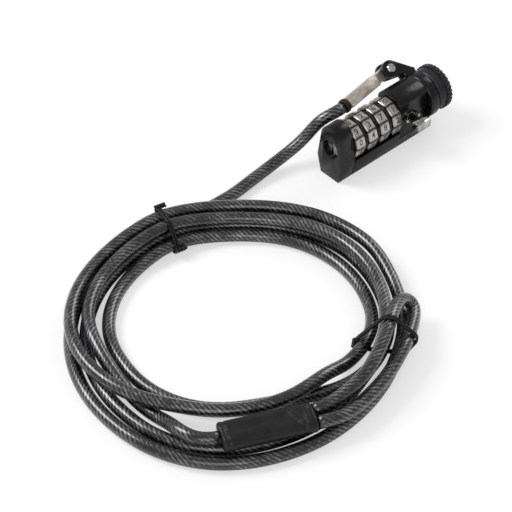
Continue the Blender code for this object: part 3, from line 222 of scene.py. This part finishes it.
def cable_route():
    outward = ferrule_direction()
    start = RIVET + CABLE_START * outward
    points = [start, start + CABLE_DIAMETER * outward]
    points += millimetres(LEAD_POINTS)
    points += [coil_point(angle) for angle in range(COIL_KEYS[0][0], COIL_END_ANGLE + 1, COIL_ANGLE_STEP)]
    port, port_outward = sleeve_port(-1, 0)
    points += millimetres(TAIL_POINTS) + [port + CABLE_DIAMETER * port_outward, port]
    return relaxed(smooth_route(points, ROUTE_STEP), RELAX_ROUNDS)


def eye_route():
    inner, outward = sleeve_port(1, LEG_SPACING / 2)
    outer, _ = sleeve_port(1, -LEG_SPACING / 2)
    points = [inner, inner + CABLE_DIAMETER * outward]
    points += [lifted(point) for point in millimetres(EYE_POINTS)]
    points += [outer + CABLE_DIAMETER * outward, outer]
    return relaxed(smooth_route(points, ROUTE_STEP), RELAX_ROUNDS)


def link(obj):
    bpy.context.scene.collection.objects.link(obj)
    return obj


def finished(bm, name):
    """The object of a mesh that was built, in the scene."""
    mesh = bpy.data.meshes.new(name)
    bm.to_mesh(mesh)
    bm.free()
    return link(bpy.data.objects.new(name, mesh))


def tube_object(name, route):
    """The cable along the route. Its UVs run along it in metres and round it from 0 to 1."""
    bm = bmesh.new()
    uv_layer = bm.loops.layers.uv.new("UVMap")
    tangent = (route[1] - route[0]).normalized()
    normal = tangent.orthogonal().normalized()
    rings = []
    along = [0.0]
    for i, point in enumerate(route):
        before = route[max(i - 1, 0)]
        after = route[min(i + 1, len(route) - 1)]
        turned = (after - before).normalized()
        normal = (tangent.rotation_difference(turned) @ normal).normalized()
        tangent = turned
        side = tangent.cross(normal)
        turns = [math.tau * k / TUBE_SIDES for k in range(TUBE_SIDES)]
        spokes = [math.cos(turn) * normal + math.sin(turn) * side for turn in turns]
        rings.append([bm.verts.new(point + CABLE_RADIUS * spoke) for spoke in spokes])
        if i:
            along.append(along[-1] + (point - route[i - 1]).length)
    for i, (first, second) in enumerate(zip(rings, rings[1:])):
        for k in range(TUBE_SIDES):
            beyond = (k + 1) % TUBE_SIDES
            face = bm.faces.new((first[k], first[beyond], second[beyond], second[k]))
            face.smooth = True
            uvs = (
                (along[i], k / TUBE_SIDES),
                (along[i], (k + 1) / TUBE_SIDES),
                (along[i + 1], (k + 1) / TUBE_SIDES),
                (along[i + 1], k / TUBE_SIDES),
            )
            for loop, uv in zip(face.loops, uvs):
                loop[uv_layer].uv = uv
    bm.faces.new(rings[0][::-1])
    bm.faces.new(rings[-1])
    bmesh.ops.recalc_face_normals(bm, faces=bm.faces)
    return finished(bm, name)


main_route = cable_route()
eye_line = eye_route()
cable = tube_object("coated_cable", main_route)
eye = tube_object("coated_cable_eye", eye_line)
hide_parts("cable_lead", "cable_coil")
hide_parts("cable_eye")
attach(cable, "cable")
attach(eye, "cable")


# --- Materials --------------------------------------------------------------------------------------
NOISE_LOW = 0.3
NOISE_HIGH = 0.7
FINE_GRAIN = 0.02 * MM  # depth of a bump


class Shader:
    """A small helper that builds one node material around a Principled BSDF."""

    def __init__(self, name, colour, metallic, roughness):
        self.material = bpy.data.materials.new(name)
        self.material.use_nodes = True
        self.tree = self.material.node_tree
        self.surface = self.tree.nodes["Principled BSDF"]
        self.surface.inputs["Base Color"].default_value = (*colour, 1)
        self.surface.inputs["Metallic"].default_value = metallic
        self.surface.inputs["Roughness"].default_value = roughness

    def node(self, kind, **settings):
        made = self.tree.nodes.new(kind)
        for key, value in settings.items():
            setattr(made, key, value)
        return made

    def join(self, source, target):
        self.tree.links.new(source, target)

    def feed(self, node, name, value):
        if isinstance(value, bpy.types.NodeSocket):
            self.join(value, node.inputs[name])
        else:
            node.inputs[name].default_value = value

    def math(self, operation, first, second=0.0):
        node = self.node("ShaderNodeMath", operation=operation)
        for index, value in enumerate((first, second)):
            self.feed(node, index, value)
        return node.outputs[0]

    def position(self):
        return self.node("ShaderNodeTexCoord").outputs["Object"]

    def stretched(self, scale):
        mapping = self.node("ShaderNodeMapping")
        self.join(self.position(), mapping.inputs["Vector"])
        mapping.inputs["Scale"].default_value = scale
        return mapping.outputs[0]

    def noise(self, scale, detail=4.0, vector=None, roughness=0.5):
        node = self.node("ShaderNodeTexNoise")
        self.join(vector or self.position(), node.inputs["Vector"])
        node.inputs["Scale"].default_value = scale
        node.inputs["Detail"].default_value = detail
        node.inputs["Roughness"].default_value = roughness
        return node.outputs["Fac"]

    def ramp(self, value, stops):
        node = self.node("ShaderNodeValToRGB")
        self.join(value, node.inputs["Fac"])
        while len(node.color_ramp.elements) < len(stops):
            node.color_ramp.elements.new(1.0)
        for element, (place, colour) in zip(node.color_ramp.elements, stops):
            element.position = place
            element.color = (*colour, 1)
        return node.outputs["Color"]

    def spread(self, value, low, high):
        """Stretches the middle of a noise, where nearly all of it lies, from low to high."""
        node = self.node("ShaderNodeMapRange")
        self.join(value, node.inputs["Value"])
        node.inputs["From Min"].default_value = NOISE_LOW
        node.inputs["From Max"].default_value = NOISE_HIGH
        node.inputs["To Min"].default_value = low
        node.inputs["To Max"].default_value = high
        return node.outputs["Result"]

    def bump(self, height, strength, distance):
        node = self.node("ShaderNodeBump")
        self.join(height, node.inputs["Height"])
        node.inputs["Strength"].default_value = strength
        node.inputs["Distance"].default_value = distance
        self.join(node.outputs["Normal"], self.surface.inputs["Normal"])

    def set(self, name, value):
        self.feed(self.surface, name, value)


def black_plastic(name, shade=0.0045, roughness=(0.16, 0.32), grain=0.1):
    """A glossy black of slightly uneven shade. Roughness is its lowest and highest."""
    s = Shader(name, (shade, shade, shade * 1.06), 0.0, 0.3)
    cloud = s.noise(260, 6)
    pale = (shade * 1.5, shade * 1.45, shade * 1.55)
    s.set("Base Color", s.ramp(cloud, ((0.3, (shade * 0.6,) * 3), (0.7, pale))))
    s.set("Roughness", s.spread(s.noise(700, 5), *roughness))
    s.set("Specular IOR Level", 0.24)
    s.bump(s.noise(3800, 3), grain, FINE_GRAIN)
    return s.material


def black_anodised(name):
    """Dark anodised aluminium with the fine rings of a lathe."""
    s = Shader(name, (0.02, 0.02, 0.022), 0.6, 0.4)
    rings = s.noise(900, 4, s.stretched((7, 0.6, 0.6)))
    s.set("Base Color", s.ramp(rings, ((0.3, (0.01, 0.01, 0.012)), (0.75, (0.035, 0.035, 0.039)))))
    s.set("Roughness", s.spread(rings, 0.3, 0.48))
    s.bump(rings, 0.15, FINE_GRAIN)
    return s.material


def metal(name, colour, roughness, stretch, grain=0.12, tarnish_and_reflection=0.25):
    """A turned or brushed metal. Stretch is large across the brushing."""
    s = Shader(name, colour, 1.0, sum(roughness) / 2)
    lines = s.noise(520, 5, s.stretched(stretch), 0.6)
    patches = s.noise(330, 4)
    # The darker patches are tarnish on most parts; on the T-bar they are painted dark reflections of the
    # surroundings.
    dull = tuple(channel * (1 - tarnish_and_reflection) for channel in colour)
    s.set("Base Color", s.ramp(patches, ((0.35, dull), (0.65, colour))))
    s.set("Roughness", s.spread(lines, *roughness))
    s.bump(lines, grain, 0.015 * MM)
    return s.material


def faceted_dial(name):
    """Satin silver faces, painted darker where two faces meet as shade for the dark reflection of the edges
    between faces.
    """
    s = Shader(name, (0.5, 0.49, 0.465), 1.0, 0.34)
    split = s.node("ShaderNodeSeparateXYZ")
    s.join(s.position(), split.inputs[0])
    height = s.math("SUBTRACT", split.outputs["Z"], AXIS_HEIGHT)
    turns = s.math("MULTIPLY", s.math("ARCTAN2", split.outputs["Y"], height), DIAL_FACES / math.tau)
    from_joint = s.math("ABSOLUTE", s.math("SUBTRACT", s.math("FRACT", turns), 0.5))
    # Each face is painted darker towards its joints as painted shade, with a little random unevenness
    # added.
    joint_shade = s.math("ADD", from_joint, s.spread(s.noise(1100, 5), -0.05, 0.05))
    dark = ((0.0, (0.045, 0.04, 0.035)), (0.085, (0.12, 0.11, 0.1)))
    stops = (*dark, (0.15, (0.42, 0.41, 0.385)), (1.0, (0.6, 0.585, 0.55)))
    s.set("Base Color", s.ramp(joint_shade, stops))
    s.set("Roughness", s.spread(s.noise(520, 5, s.stretched(ROUND_X), 0.6), 0.24, 0.42))
    return s.material


def worn_nickel(name):
    """Nickel plating that has gone brown and dull in patches."""
    s = Shader(name, (0.5, 0.46, 0.4), 1.0, 0.38)
    patches = s.noise(420, 6, s.stretched((0.5, 1.2, 1.2)), 0.65)
    stops = ((0.3, (0.2, 0.165, 0.14)), (0.5, (0.48, 0.43, 0.37)), (0.72, (0.74, 0.7, 0.64)))
    s.set("Base Color", s.ramp(patches, stops))
    s.set("Metallic", s.spread(patches, 0.55, 0.95))
    s.set("Roughness", s.spread(s.noise(1500, 4), 0.28, 0.5))
    s.bump(s.noise(900, 5), 0.3, 0.05 * MM)
    return s.material


STRANDS = 8
STRAND_SPACING = 1.9 * MM  # along the cable
STRAND_WOBBLE = 0.3 * MM
STRAND_DEPTH = 0.16 * MM


def cable_coat(name):
    """Twisted steel strands under a smoky clear coat. The UVs run along the cable and round it."""
    s = Shader(name, (0.02, 0.02, 0.022), 0.55, 0.36)
    split = s.node("ShaderNodeSeparateXYZ")
    s.join(s.node("ShaderNodeTexCoord").outputs["UV"], split.inputs[0])
    uneven = s.math("ADD", split.outputs["X"], s.spread(s.noise(260, 3), -STRAND_WOBBLE, STRAND_WOBBLE))
    along = s.math("MULTIPLY", uneven, 1 / STRAND_SPACING)
    twisted = s.math("MULTIPLY", split.outputs["Y"], float(STRANDS))
    phase = s.math("FRACT", s.math("SUBTRACT", along, twisted))
    strand = s.math("SINE", s.math("MULTIPLY", phase, math.pi))
    smoke = s.noise(150, 5)
    worn = s.noise(900, 4)
    # Painted light: the grooves between strands get near-black painted shade and the crowns a bright
    # painted highlight, varied by random smoke and wear noise.
    strand_shade_and_tint = s.math("MULTIPLY", strand, s.math("ADD", s.spread(smoke, 0.35, 0.9), s.spread(worn, -0.15, 0.3)))
    stops = ((0.18, (0.001, 0.001, 0.0013)), (0.5, (0.014, 0.014, 0.015)), (1.0, (0.19, 0.19, 0.2)))
    s.set("Base Color", s.ramp(strand_shade_and_tint, stops))
    s.set("Roughness", s.spread(smoke, 0.3, 0.44))
    s.set("Coat Weight", 1.0)
    s.set("Coat Roughness", 0.17)
    s.set("Coat IOR", 1.5)
    s.bump(strand, 0.7, STRAND_DEPTH)
    return s.material


def paint(name, colour, roughness):
    s = Shader(name, colour, 0.0, sum(roughness) / 2)
    s.set("Roughness", s.spread(s.noise(2200, 3), *roughness))
    return s.material


DIAL_FACES = 10
# How a noise is stretched: small along a brushed line and large across it.
ALONG_X = (0.25, 6.0, 6.0)
ROUND_X = (6.0, 0.4, 0.4)
EVEN = (1.0, 1.0, 1.0)
cable_material = cable_coat("Smoky coated steel cable")
cable.data.materials.append(cable_material)
eye.data.materials.append(cable_material)

LOOKS = {
    ("lock_body", "end_cap", "swivel_ring", "bottom_cover"): black_plastic("Black glossy casting"),
    ("spacer_1", "spacer_2", "spacer_3"): black_plastic("Black divider plastic", 0.004, (0.35, 0.5)),
    ("cable_collar",): black_plastic("Black collar rubber", 0.008, (0.4, 0.55), 0.25),
    ("knob",): black_anodised("Black anodised knob"),
    ("dial_1", "dial_2", "dial_3", "dial_4"): faceted_dial("Satin silver dials"),
    # The T-bar's strongly darkened patches are painted dark reflections of the surroundings.
    ("tbar", "tbar_bush"): metal("Chrome with painted dark reflections", (0.6, 0.59, 0.57), (0.05, 0.2), EVEN, 0.06, 0.93),
    ("guide_pin_1", "guide_pin_2", "rivet"): metal(
        "Bright chrome", (0.62, 0.615, 0.6), (0.06, 0.24), EVEN, 0.05, 0.55
    ),
    ("reset_screw",): metal("Darkened steel", (0.42, 0.42, 0.42), (0.1, 0.26), EVEN, 0.1, 0.85),
    ("code_spindle", "detent_strip", "drive_shaft", "stop_pin", "cover_screw_1", "cover_screw_2"): metal(
        "Turned steel", (0.6, 0.6, 0.6), (0.2, 0.36), ALONG_X
    ),
    ("drive_washer", "tbar_washer"): metal("Dull steel", (0.42, 0.42, 0.42), (0.35, 0.5), EVEN),
    ("drive_gear", "tbar_gear", "dial_hub_1", "dial_hub_2", "dial_hub_3", "dial_hub_4"): metal(
        "Machined brass", (0.72, 0.55, 0.27), (0.28, 0.42), EVEN
    ),
    ("ferrule",): worn_nickel("Worn nickel plating"),
}
for nodes, material in LOOKS.items():
    for node in nodes:
        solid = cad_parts[node]
        if not solid.material_slots:
            solid.data.materials.append(material)
        for material_slot in solid.material_slots:
            material_slot.material = material


# --- Softened edges of the rigid pieces -----------------------------------------------------------------
SMOOTH_LIMIT = math.radians(32)
BEVEL_LIMIT = math.radians(40)
BEVEL_SEGMENTS = 2
WELD_DISTANCE = 0.001 * MM
EDGE_ROUNDING = {  # in mm
    "lock_body": 0.22,
    "end_cap": 0.22,
    "swivel_ring": 0.15,
    "knob": 0.14,
    "ferrule": 0.12,
    "tbar": 0.12,
}
OTHER_ROUNDING = 0.05


def smoothing_group():
    """Shades smooth across the shallow edges and keeps the sharp ones."""
    group = bpy.data.node_groups.new("Smooth shallow edges", "GeometryNodeTree")
    group.interface.new_socket("Geometry", in_out="INPUT", socket_type="NodeSocketGeometry")
    group.interface.new_socket("Geometry", in_out="OUTPUT", socket_type="NodeSocketGeometry")
    faces = group.nodes.new("GeometryNodeSetShadeSmooth")
    faces.domain = "FACE"
    edges = group.nodes.new("GeometryNodeSetShadeSmooth")
    edges.domain = "EDGE"
    edges.inputs["Shade Smooth"].default_value = False
    angle = group.nodes.new("GeometryNodeInputMeshEdgeAngle")
    compare = group.nodes.new("FunctionNodeCompare")
    compare.operation = "GREATER_THAN"
    compare.inputs[1].default_value = SMOOTH_LIMIT
    group.links.new(group.nodes.new("NodeGroupInput").outputs[0], faces.inputs["Geometry"])
    group.links.new(faces.outputs[0], edges.inputs["Geometry"])
    group.links.new(angle.outputs["Unsigned Angle"], compare.inputs[0])
    group.links.new(compare.outputs[0], edges.inputs["Selection"])
    group.links.new(edges.outputs[0], group.nodes.new("NodeGroupOutput").inputs[0])
    return group


def soften(obj, rounding, group):
    """Rounds the sharp edges of a CAD piece and shades its curved faces smooth."""
    weld = obj.modifiers.new("Weld", "WELD")
    weld.merge_threshold = WELD_DISTANCE
    bevel = obj.modifiers.new("Round edges", "BEVEL")
    bevel.width = rounding
    bevel.segments = BEVEL_SEGMENTS
    bevel.limit_method = "ANGLE"
    bevel.angle_limit = BEVEL_LIMIT
    obj.modifiers.new("Smooth", "NODES").node_group = group


smoothing = smoothing_group()
for nodes in LOOKS:
    for node in nodes:
        soften(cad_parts[node], EDGE_ROUNDING.get(node, OTHER_ROUNDING) * MM, smoothing)


# --- Dial numbers -----------------------------------------------------------------------------------
DIAL_BODIES = ("dial_one", "dial_two", "dial_three", "dial_four")
DIAL_RADIUS = 7.5 * MM
FIRST_DIAL_START = -15.0 * MM
DIAL_PITCH = 6.2 * MM
DIAL_WIDTH = 4.4 * MM
DIGIT_SIZE = 3.3 * MM
DIGIT_PROUD = 0.02 * MM
DIGIT_BOLDNESS = 0.05 * MM
CODE_AT_REST = (3, 7, 1, 5)
digit_paint = paint("Black number paint", (0.015, 0.015, 0.015), (0.25, 0.45))


def digit_mesh(digit):
    """A digit's mesh, lying flat round the origin."""
    text = bpy.data.curves.new(f"digit_{digit}", "FONT")
    text.body = str(digit)
    text.size = DIGIT_SIZE
    text.align_x = "CENTER"
    text.align_y = "CENTER"
    text.extrude = DIGIT_PROUD
    text.offset = DIGIT_BOLDNESS
    text.resolution_u = 4
    source = link(bpy.data.objects.new(f"digit_{digit}", text))
    bpy.context.view_layer.update()
    mesh = bpy.data.meshes.new_from_object(source.evaluated_get(bpy.context.evaluated_depsgraph_get()))
    bpy.data.objects.remove(source, do_unlink=True)
    return mesh


def dial_numbers(index, digits):
    """The ten numbers of one dial, each on its own flat face."""
    bm = bmesh.new()
    flat = DIAL_RADIUS * math.cos(math.pi / DIAL_FACES)
    middle = FIRST_DIAL_START + index * DIAL_PITCH + DIAL_WIDTH / 2
    for number in range(DIAL_FACES):
        angle = math.tau * number / DIAL_FACES
        normal = Vector((0, math.sin(angle), -math.cos(angle)))
        right = Vector((1, 0, 0))
        up = normal.cross(right)
        place = Matrix((right, up, normal)).transposed().to_4x4()
        place.translation = Vector((middle, 0, AXIS_HEIGHT)) + flat * normal
        digit = digits[(number + CODE_AT_REST[index]) % DIAL_FACES].copy()
        digit.transform(place)
        bm.from_mesh(digit)
    obj = finished(bm, f"dial_{index + 1}_numbers")
    obj.data.materials.append(digit_paint)
    return obj


digit_meshes = [digit_mesh(digit) for digit in range(DIAL_FACES)]
for index, body in enumerate(DIAL_BODIES):
    numbers = dial_numbers(index, digit_meshes)
    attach(numbers, body)


# --- Crimped sleeve ---------------------------------------------------------------------------------
SLEEVE_WIDTH = 11.0 * MM
SLEEVE_THICKNESS = 5.8 * MM
SLEEVE_END_RADIUS = 0.9 * MM
SLEEVE_RINGS = 90
SLEEVE_SIDES = 48
SLEEVE_SQUARENESS = (0.66, 0.74)  # across it and upward, where 1 is round
LIP_PLACE = 2.0 * MM  # of the groove behind the lip, from the left end
LIP_CREASE = (0.35 * MM, 0.22 * MM)  # width and depth
MIDDLE_DIP = (1.3 * MM, 0.5 * MM)  # between the cable's two legs
PINCH_PLACE = 4.4 * MM  # of the two creases, from the right end
PINCH_APART = 0.9 * MM  # of each from there
PINCH_SPLAY = 0.45  # how far the creases lean along the sleeve, for each unit across it
PINCH_CREASE = (0.45 * MM, 0.34 * MM)


def crease(distance, width, depth):
    """How deep a soft groove is at this distance from its middle."""
    return depth * math.exp(-((distance / width) ** 2))


def sleeve_point(share, turn):
    """A point of the sleeve at this share of its length and this angle round it."""
    along = share * SLEEVE_LENGTH
    from_end = min(along, SLEEVE_LENGTH - along)
    inset = max(0.0, SLEEVE_END_RADIUS - from_end)
    shrink = SLEEVE_END_RADIUS - math.sqrt(max(0.0, SLEEVE_END_RADIUS**2 - inset**2))
    shrink += crease(along - LIP_PLACE, *LIP_CREASE)
    x, y = math.cos(turn), math.sin(turn)
    across = math.copysign(abs(x) ** SLEEVE_SQUARENESS[0], x) * (SLEEVE_WIDTH / 2 - shrink)
    height = math.copysign(abs(y) ** SLEEVE_SQUARENESS[1], y) * (SLEEVE_THICKNESS / 2 - shrink)
    dip = crease(across, *MIDDLE_DIP)
    for lean in (-1, 1):
        splay = PINCH_APART + PINCH_SPLAY * (across + SLEEVE_WIDTH / 4)
        dip += crease(along - (SLEEVE_LENGTH - PINCH_PLACE + lean * splay), *PINCH_CREASE)
    return along - SLEEVE_LENGTH / 2, across, height - math.copysign(min(dip, abs(height)), height)


def crimp_sleeve():
    bm = bmesh.new()
    rings = []
    for i in range(SLEEVE_RINGS + 1):
        share = (1 - math.cos(math.pi * i / SLEEVE_RINGS)) / 2
        turns = [math.tau * (k + 0.5) / SLEEVE_SIDES for k in range(SLEEVE_SIDES)]
        rings.append([bm.verts.new(sleeve_point(share, turn)) for turn in turns])
    for first, second in zip(rings, rings[1:]):
        for k in range(SLEEVE_SIDES):
            after = (k + 1) % SLEEVE_SIDES
            bm.faces.new((first[k], first[after], second[after], second[k])).smooth = True
    bm.faces.new(rings[0])
    bm.faces.new(rings[-1])
    bmesh.ops.recalc_face_normals(bm, faces=bm.faces)
    obj = finished(bm, "crimped_sleeve")
    obj.location = SLEEVE_CENTRE
    obj.rotation_euler = (0, 0, SLEEVE_HEADING)
    return obj


sleeve = crimp_sleeve()
sleeve.data.materials.append(black_plastic("Black sleeve vinyl", 0.0085, (0.3, 0.42), 0.15))
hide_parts("crimp_sleeve")
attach(sleeve, "cable")


# --- Wire ties --------------------------------------------------------------------------------------
TIE_WIRE_RADIUS = 0.45 * MM
TIE_WRAPS = (-0.48 * MM, 0.48 * MM)  # where the wire's two turns lie along the cable
TIE_CLEARANCE = 0.3 * MM
WIRE_ROUNDNESS = 3
TIE_POINTS = 96
RIM_POINTS = 40  # round each strand that the wire lies on
KNOT_TURNS = 2
KNOT_STEPS = 12  # for each turn
KNOT_RADIUS = 0.55 * MM
KNOT_LENGTH = 3.9 * MM
KNOT_STANDS_OFF = 0.45 * MM
tie_material = black_plastic("Black tie plastic", 0.005, (0.3, 0.5), 0.2)


def strand_places(angle):
    """Where the cable crosses the coil's upright plane at this angle: reach from the centre, height."""
    bearing = math.radians(angle) + COIL_BEARING
    outward = Vector((math.cos(bearing), math.sin(bearing), 0))
    across = Vector((-outward.y, outward.x, 0))
    places = []
    for route in (main_route, eye_line):
        for first, second in zip(route, route[1:]):
            before = across.dot(first - COIL_CENTRE)
            after = across.dot(second - COIL_CENTRE)
            if before * after > 0 or outward.dot(first - COIL_CENTRE) < 0:
                continue
            point = first.lerp(second, before / (before - after)) - COIL_CENTRE
            places.append((outward.dot(point), point.z))
    return outward, across, places


def hull(points):
    """The convex outline round flat points, in order."""
    points = sorted(points)

    def chain(ordered):
        kept = []
        for x, y in ordered:
            while len(kept) > 1:
                (x0, y0), (x1, y1) = kept[-2:]
                if (x1 - x0) * (y - y0) - (y1 - y0) * (x - x0) > 0:
                    break
                kept.pop()
            kept.append((x, y))
        return kept[:-1]

    return chain(points) + chain(reversed(points))


def snug_loop(angle):
    """The shortest closed line round all the strands at this angle of the coil."""
    outward, across, places = strand_places(angle)
    reach = CABLE_RADIUS + TIE_CLEARANCE + TIE_WIRE_RADIUS
    rim = [
        (x + reach * math.cos(math.tau * k / RIM_POINTS), z + reach * math.sin(math.tau * k / RIM_POINTS))
        for x, z in places
        for k in range(RIM_POINTS)
    ]
    outline = [COIL_CENTRE + outward * x + Vector((0, 0, z)) for x, z in hull(rim)]
    return outline, outward, across


def even_loop(points, count):
    """The closed line through the points, with its points evenly spaced."""
    closed = points + points[:1]
    lengths = [0.0]
    for first, second in zip(closed, closed[1:]):
        lengths.append(lengths[-1] + (second - first).length)
    loop = []
    index = 0
    for step in range(count):
        wanted = lengths[-1] * step / count
        while lengths[index + 1] < wanted:
            index += 1
        share = (wanted - lengths[index]) / (lengths[index + 1] - lengths[index])
        loop.append(closed[index].lerp(closed[index + 1], share))
    return loop


def add_wire(curve, points, cyclic):
    spline = curve.splines.new("POLY")
    spline.points.add(len(points) - 1)
    for spot, point in zip(spline.points, points):
        spot.co = (*point, 1)
    spline.use_cyclic_u = cyclic
    spline.use_smooth = True


def twist(start, direction, side, phase):
    """One of the two wires that are twisted together where the tie is closed."""
    up = direction.cross(side)
    points = []
    for k in range(KNOT_STEPS * KNOT_TURNS + 1):
        turn = math.tau * k / KNOT_STEPS + phase
        along = KNOT_LENGTH * k / (KNOT_STEPS * KNOT_TURNS)
        spoke = math.cos(turn) * side + math.sin(turn) * up
        points.append(start + direction * along + KNOT_RADIUS * spoke)
    return points


def knot_sides(outward, crossed_outside):
    """The wire's ends are twisted inside the coil. In one tie it is also crossed on the outer rim."""
    over = (outward + Vector((0, 0, 1))).normalized()
    return (-outward, over) if crossed_outside else (-outward,)


def wire_tie(name, angle, crossed_outside):
    """Two turns of wire round the strands, with its twisted ends."""
    outline, outward, across = snug_loop(angle)
    curve = bpy.data.curves.new(f"{name}_wire", "CURVE")
    curve.dimensions = "3D"
    curve.bevel_depth = TIE_WIRE_RADIUS
    curve.bevel_resolution = WIRE_ROUNDNESS
    curve.use_fill_caps = True
    for shift in TIE_WRAPS:
        add_wire(curve, [point + across * shift for point in even_loop(outline, TIE_POINTS)], True)
    for facing in knot_sides(outward, crossed_outside):
        spot = max(outline, key=lambda point: (point - COIL_CENTRE).dot(facing))
        start = spot + facing * KNOT_STANDS_OFF + across * KNOT_LENGTH / 4
        for phase in (0, math.pi):
            add_wire(curve, twist(start, -across, facing, phase), False)
    obj = link(bpy.data.objects.new(f"{name}_wire", curve))
    obj.data.materials.append(tie_material)
    return obj


for tie_name, tie_angle, crossed_outside in TIES:
    wire = wire_tie(tie_name, tie_angle, crossed_outside)
    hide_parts(tie_name)
    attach(wire, "cable")


# --- Stage, light and view ----------------------------------------------------------------------------
PAPER_WHITE = 0.86
PAPER_GLOW = 0.55  # share of plain white that only the camera sees
WORLD_LIGHT = 0.55
WORLD_SEEN = 1.0
FLOOR_HALF = 3
MIDDLE = (-0.07, -0.03, 0.0)
LAMPS = (  # name, place, size in metres and watts
    ("key", (-0.45, 0.55, 0.75), 0.5, 7.0),
    ("fill", (-0.75, -0.65, 0.6), 0.7, 3.0),
    ("side", (0.75, 0.1, 0.6), 0.5, 2.5),
)


def stage_material():
    """White paper that keeps the shadow and looks a little brighter to the camera."""
    material = bpy.data.materials.new("White paper")
    material.use_nodes = True
    tree = material.node_tree
    paper = tree.nodes["Principled BSDF"]
    paper.inputs["Base Color"].default_value = (PAPER_WHITE, PAPER_WHITE, PAPER_WHITE, 1)
    paper.inputs["Roughness"].default_value = 0.9
    paper.inputs["Specular IOR Level"].default_value = 0.1
    white = tree.nodes.new("ShaderNodeEmission")
    white.inputs["Strength"].default_value = 1.0
    path = tree.nodes.new("ShaderNodeLightPath")
    share = tree.nodes.new("ShaderNodeMath")
    share.operation = "MULTIPLY"
    share.inputs[1].default_value = PAPER_GLOW
    mix = tree.nodes.new("ShaderNodeMixShader")
    tree.links.new(path.outputs["Is Camera Ray"], share.inputs[0])
    tree.links.new(share.outputs[0], mix.inputs["Fac"])
    tree.links.new(paper.outputs[0], mix.inputs[1])
    tree.links.new(white.outputs[0], mix.inputs[2])
    tree.links.new(mix.outputs[0], tree.nodes["Material Output"].inputs["Surface"])
    return material


def floor():
    bm = bmesh.new()
    bmesh.ops.create_grid(bm, x_segments=1, y_segments=1, size=FLOOR_HALF)
    obj = finished(bm, "floor")
    obj.data.materials.append(stage_material())
    return obj


def area_light(name, place, size, power):
    light = bpy.data.lights.new(name, "AREA")
    light.shape = "DISK"
    light.size = size
    light.energy = power
    obj = link(bpy.data.objects.new(name, light))
    obj.location = place
    obj.rotation_euler = (Vector(MIDDLE) - Vector(place)).to_track_quat("-Z", "Y").to_euler()


floor()
for lamp in LAMPS:
    area_light(*lamp)

world = bpy.data.worlds.new("Studio")
bpy.context.scene.world = world
world.use_nodes = True
backdrop = world.node_tree.nodes["Background"]
backdrop.inputs["Color"].default_value = (1, 1, 1, 1)
light_path = world.node_tree.nodes.new("ShaderNodeLightPath")
level = world.node_tree.nodes.new("ShaderNodeMapRange")
level.inputs["To Min"].default_value = WORLD_LIGHT
level.inputs["To Max"].default_value = WORLD_SEEN
world.node_tree.links.new(light_path.outputs["Is Camera Ray"], level.inputs["Value"])
world.node_tree.links.new(level.outputs["Result"], backdrop.inputs["Strength"])
bpy.context.scene.view_settings.view_transform = "Standard"
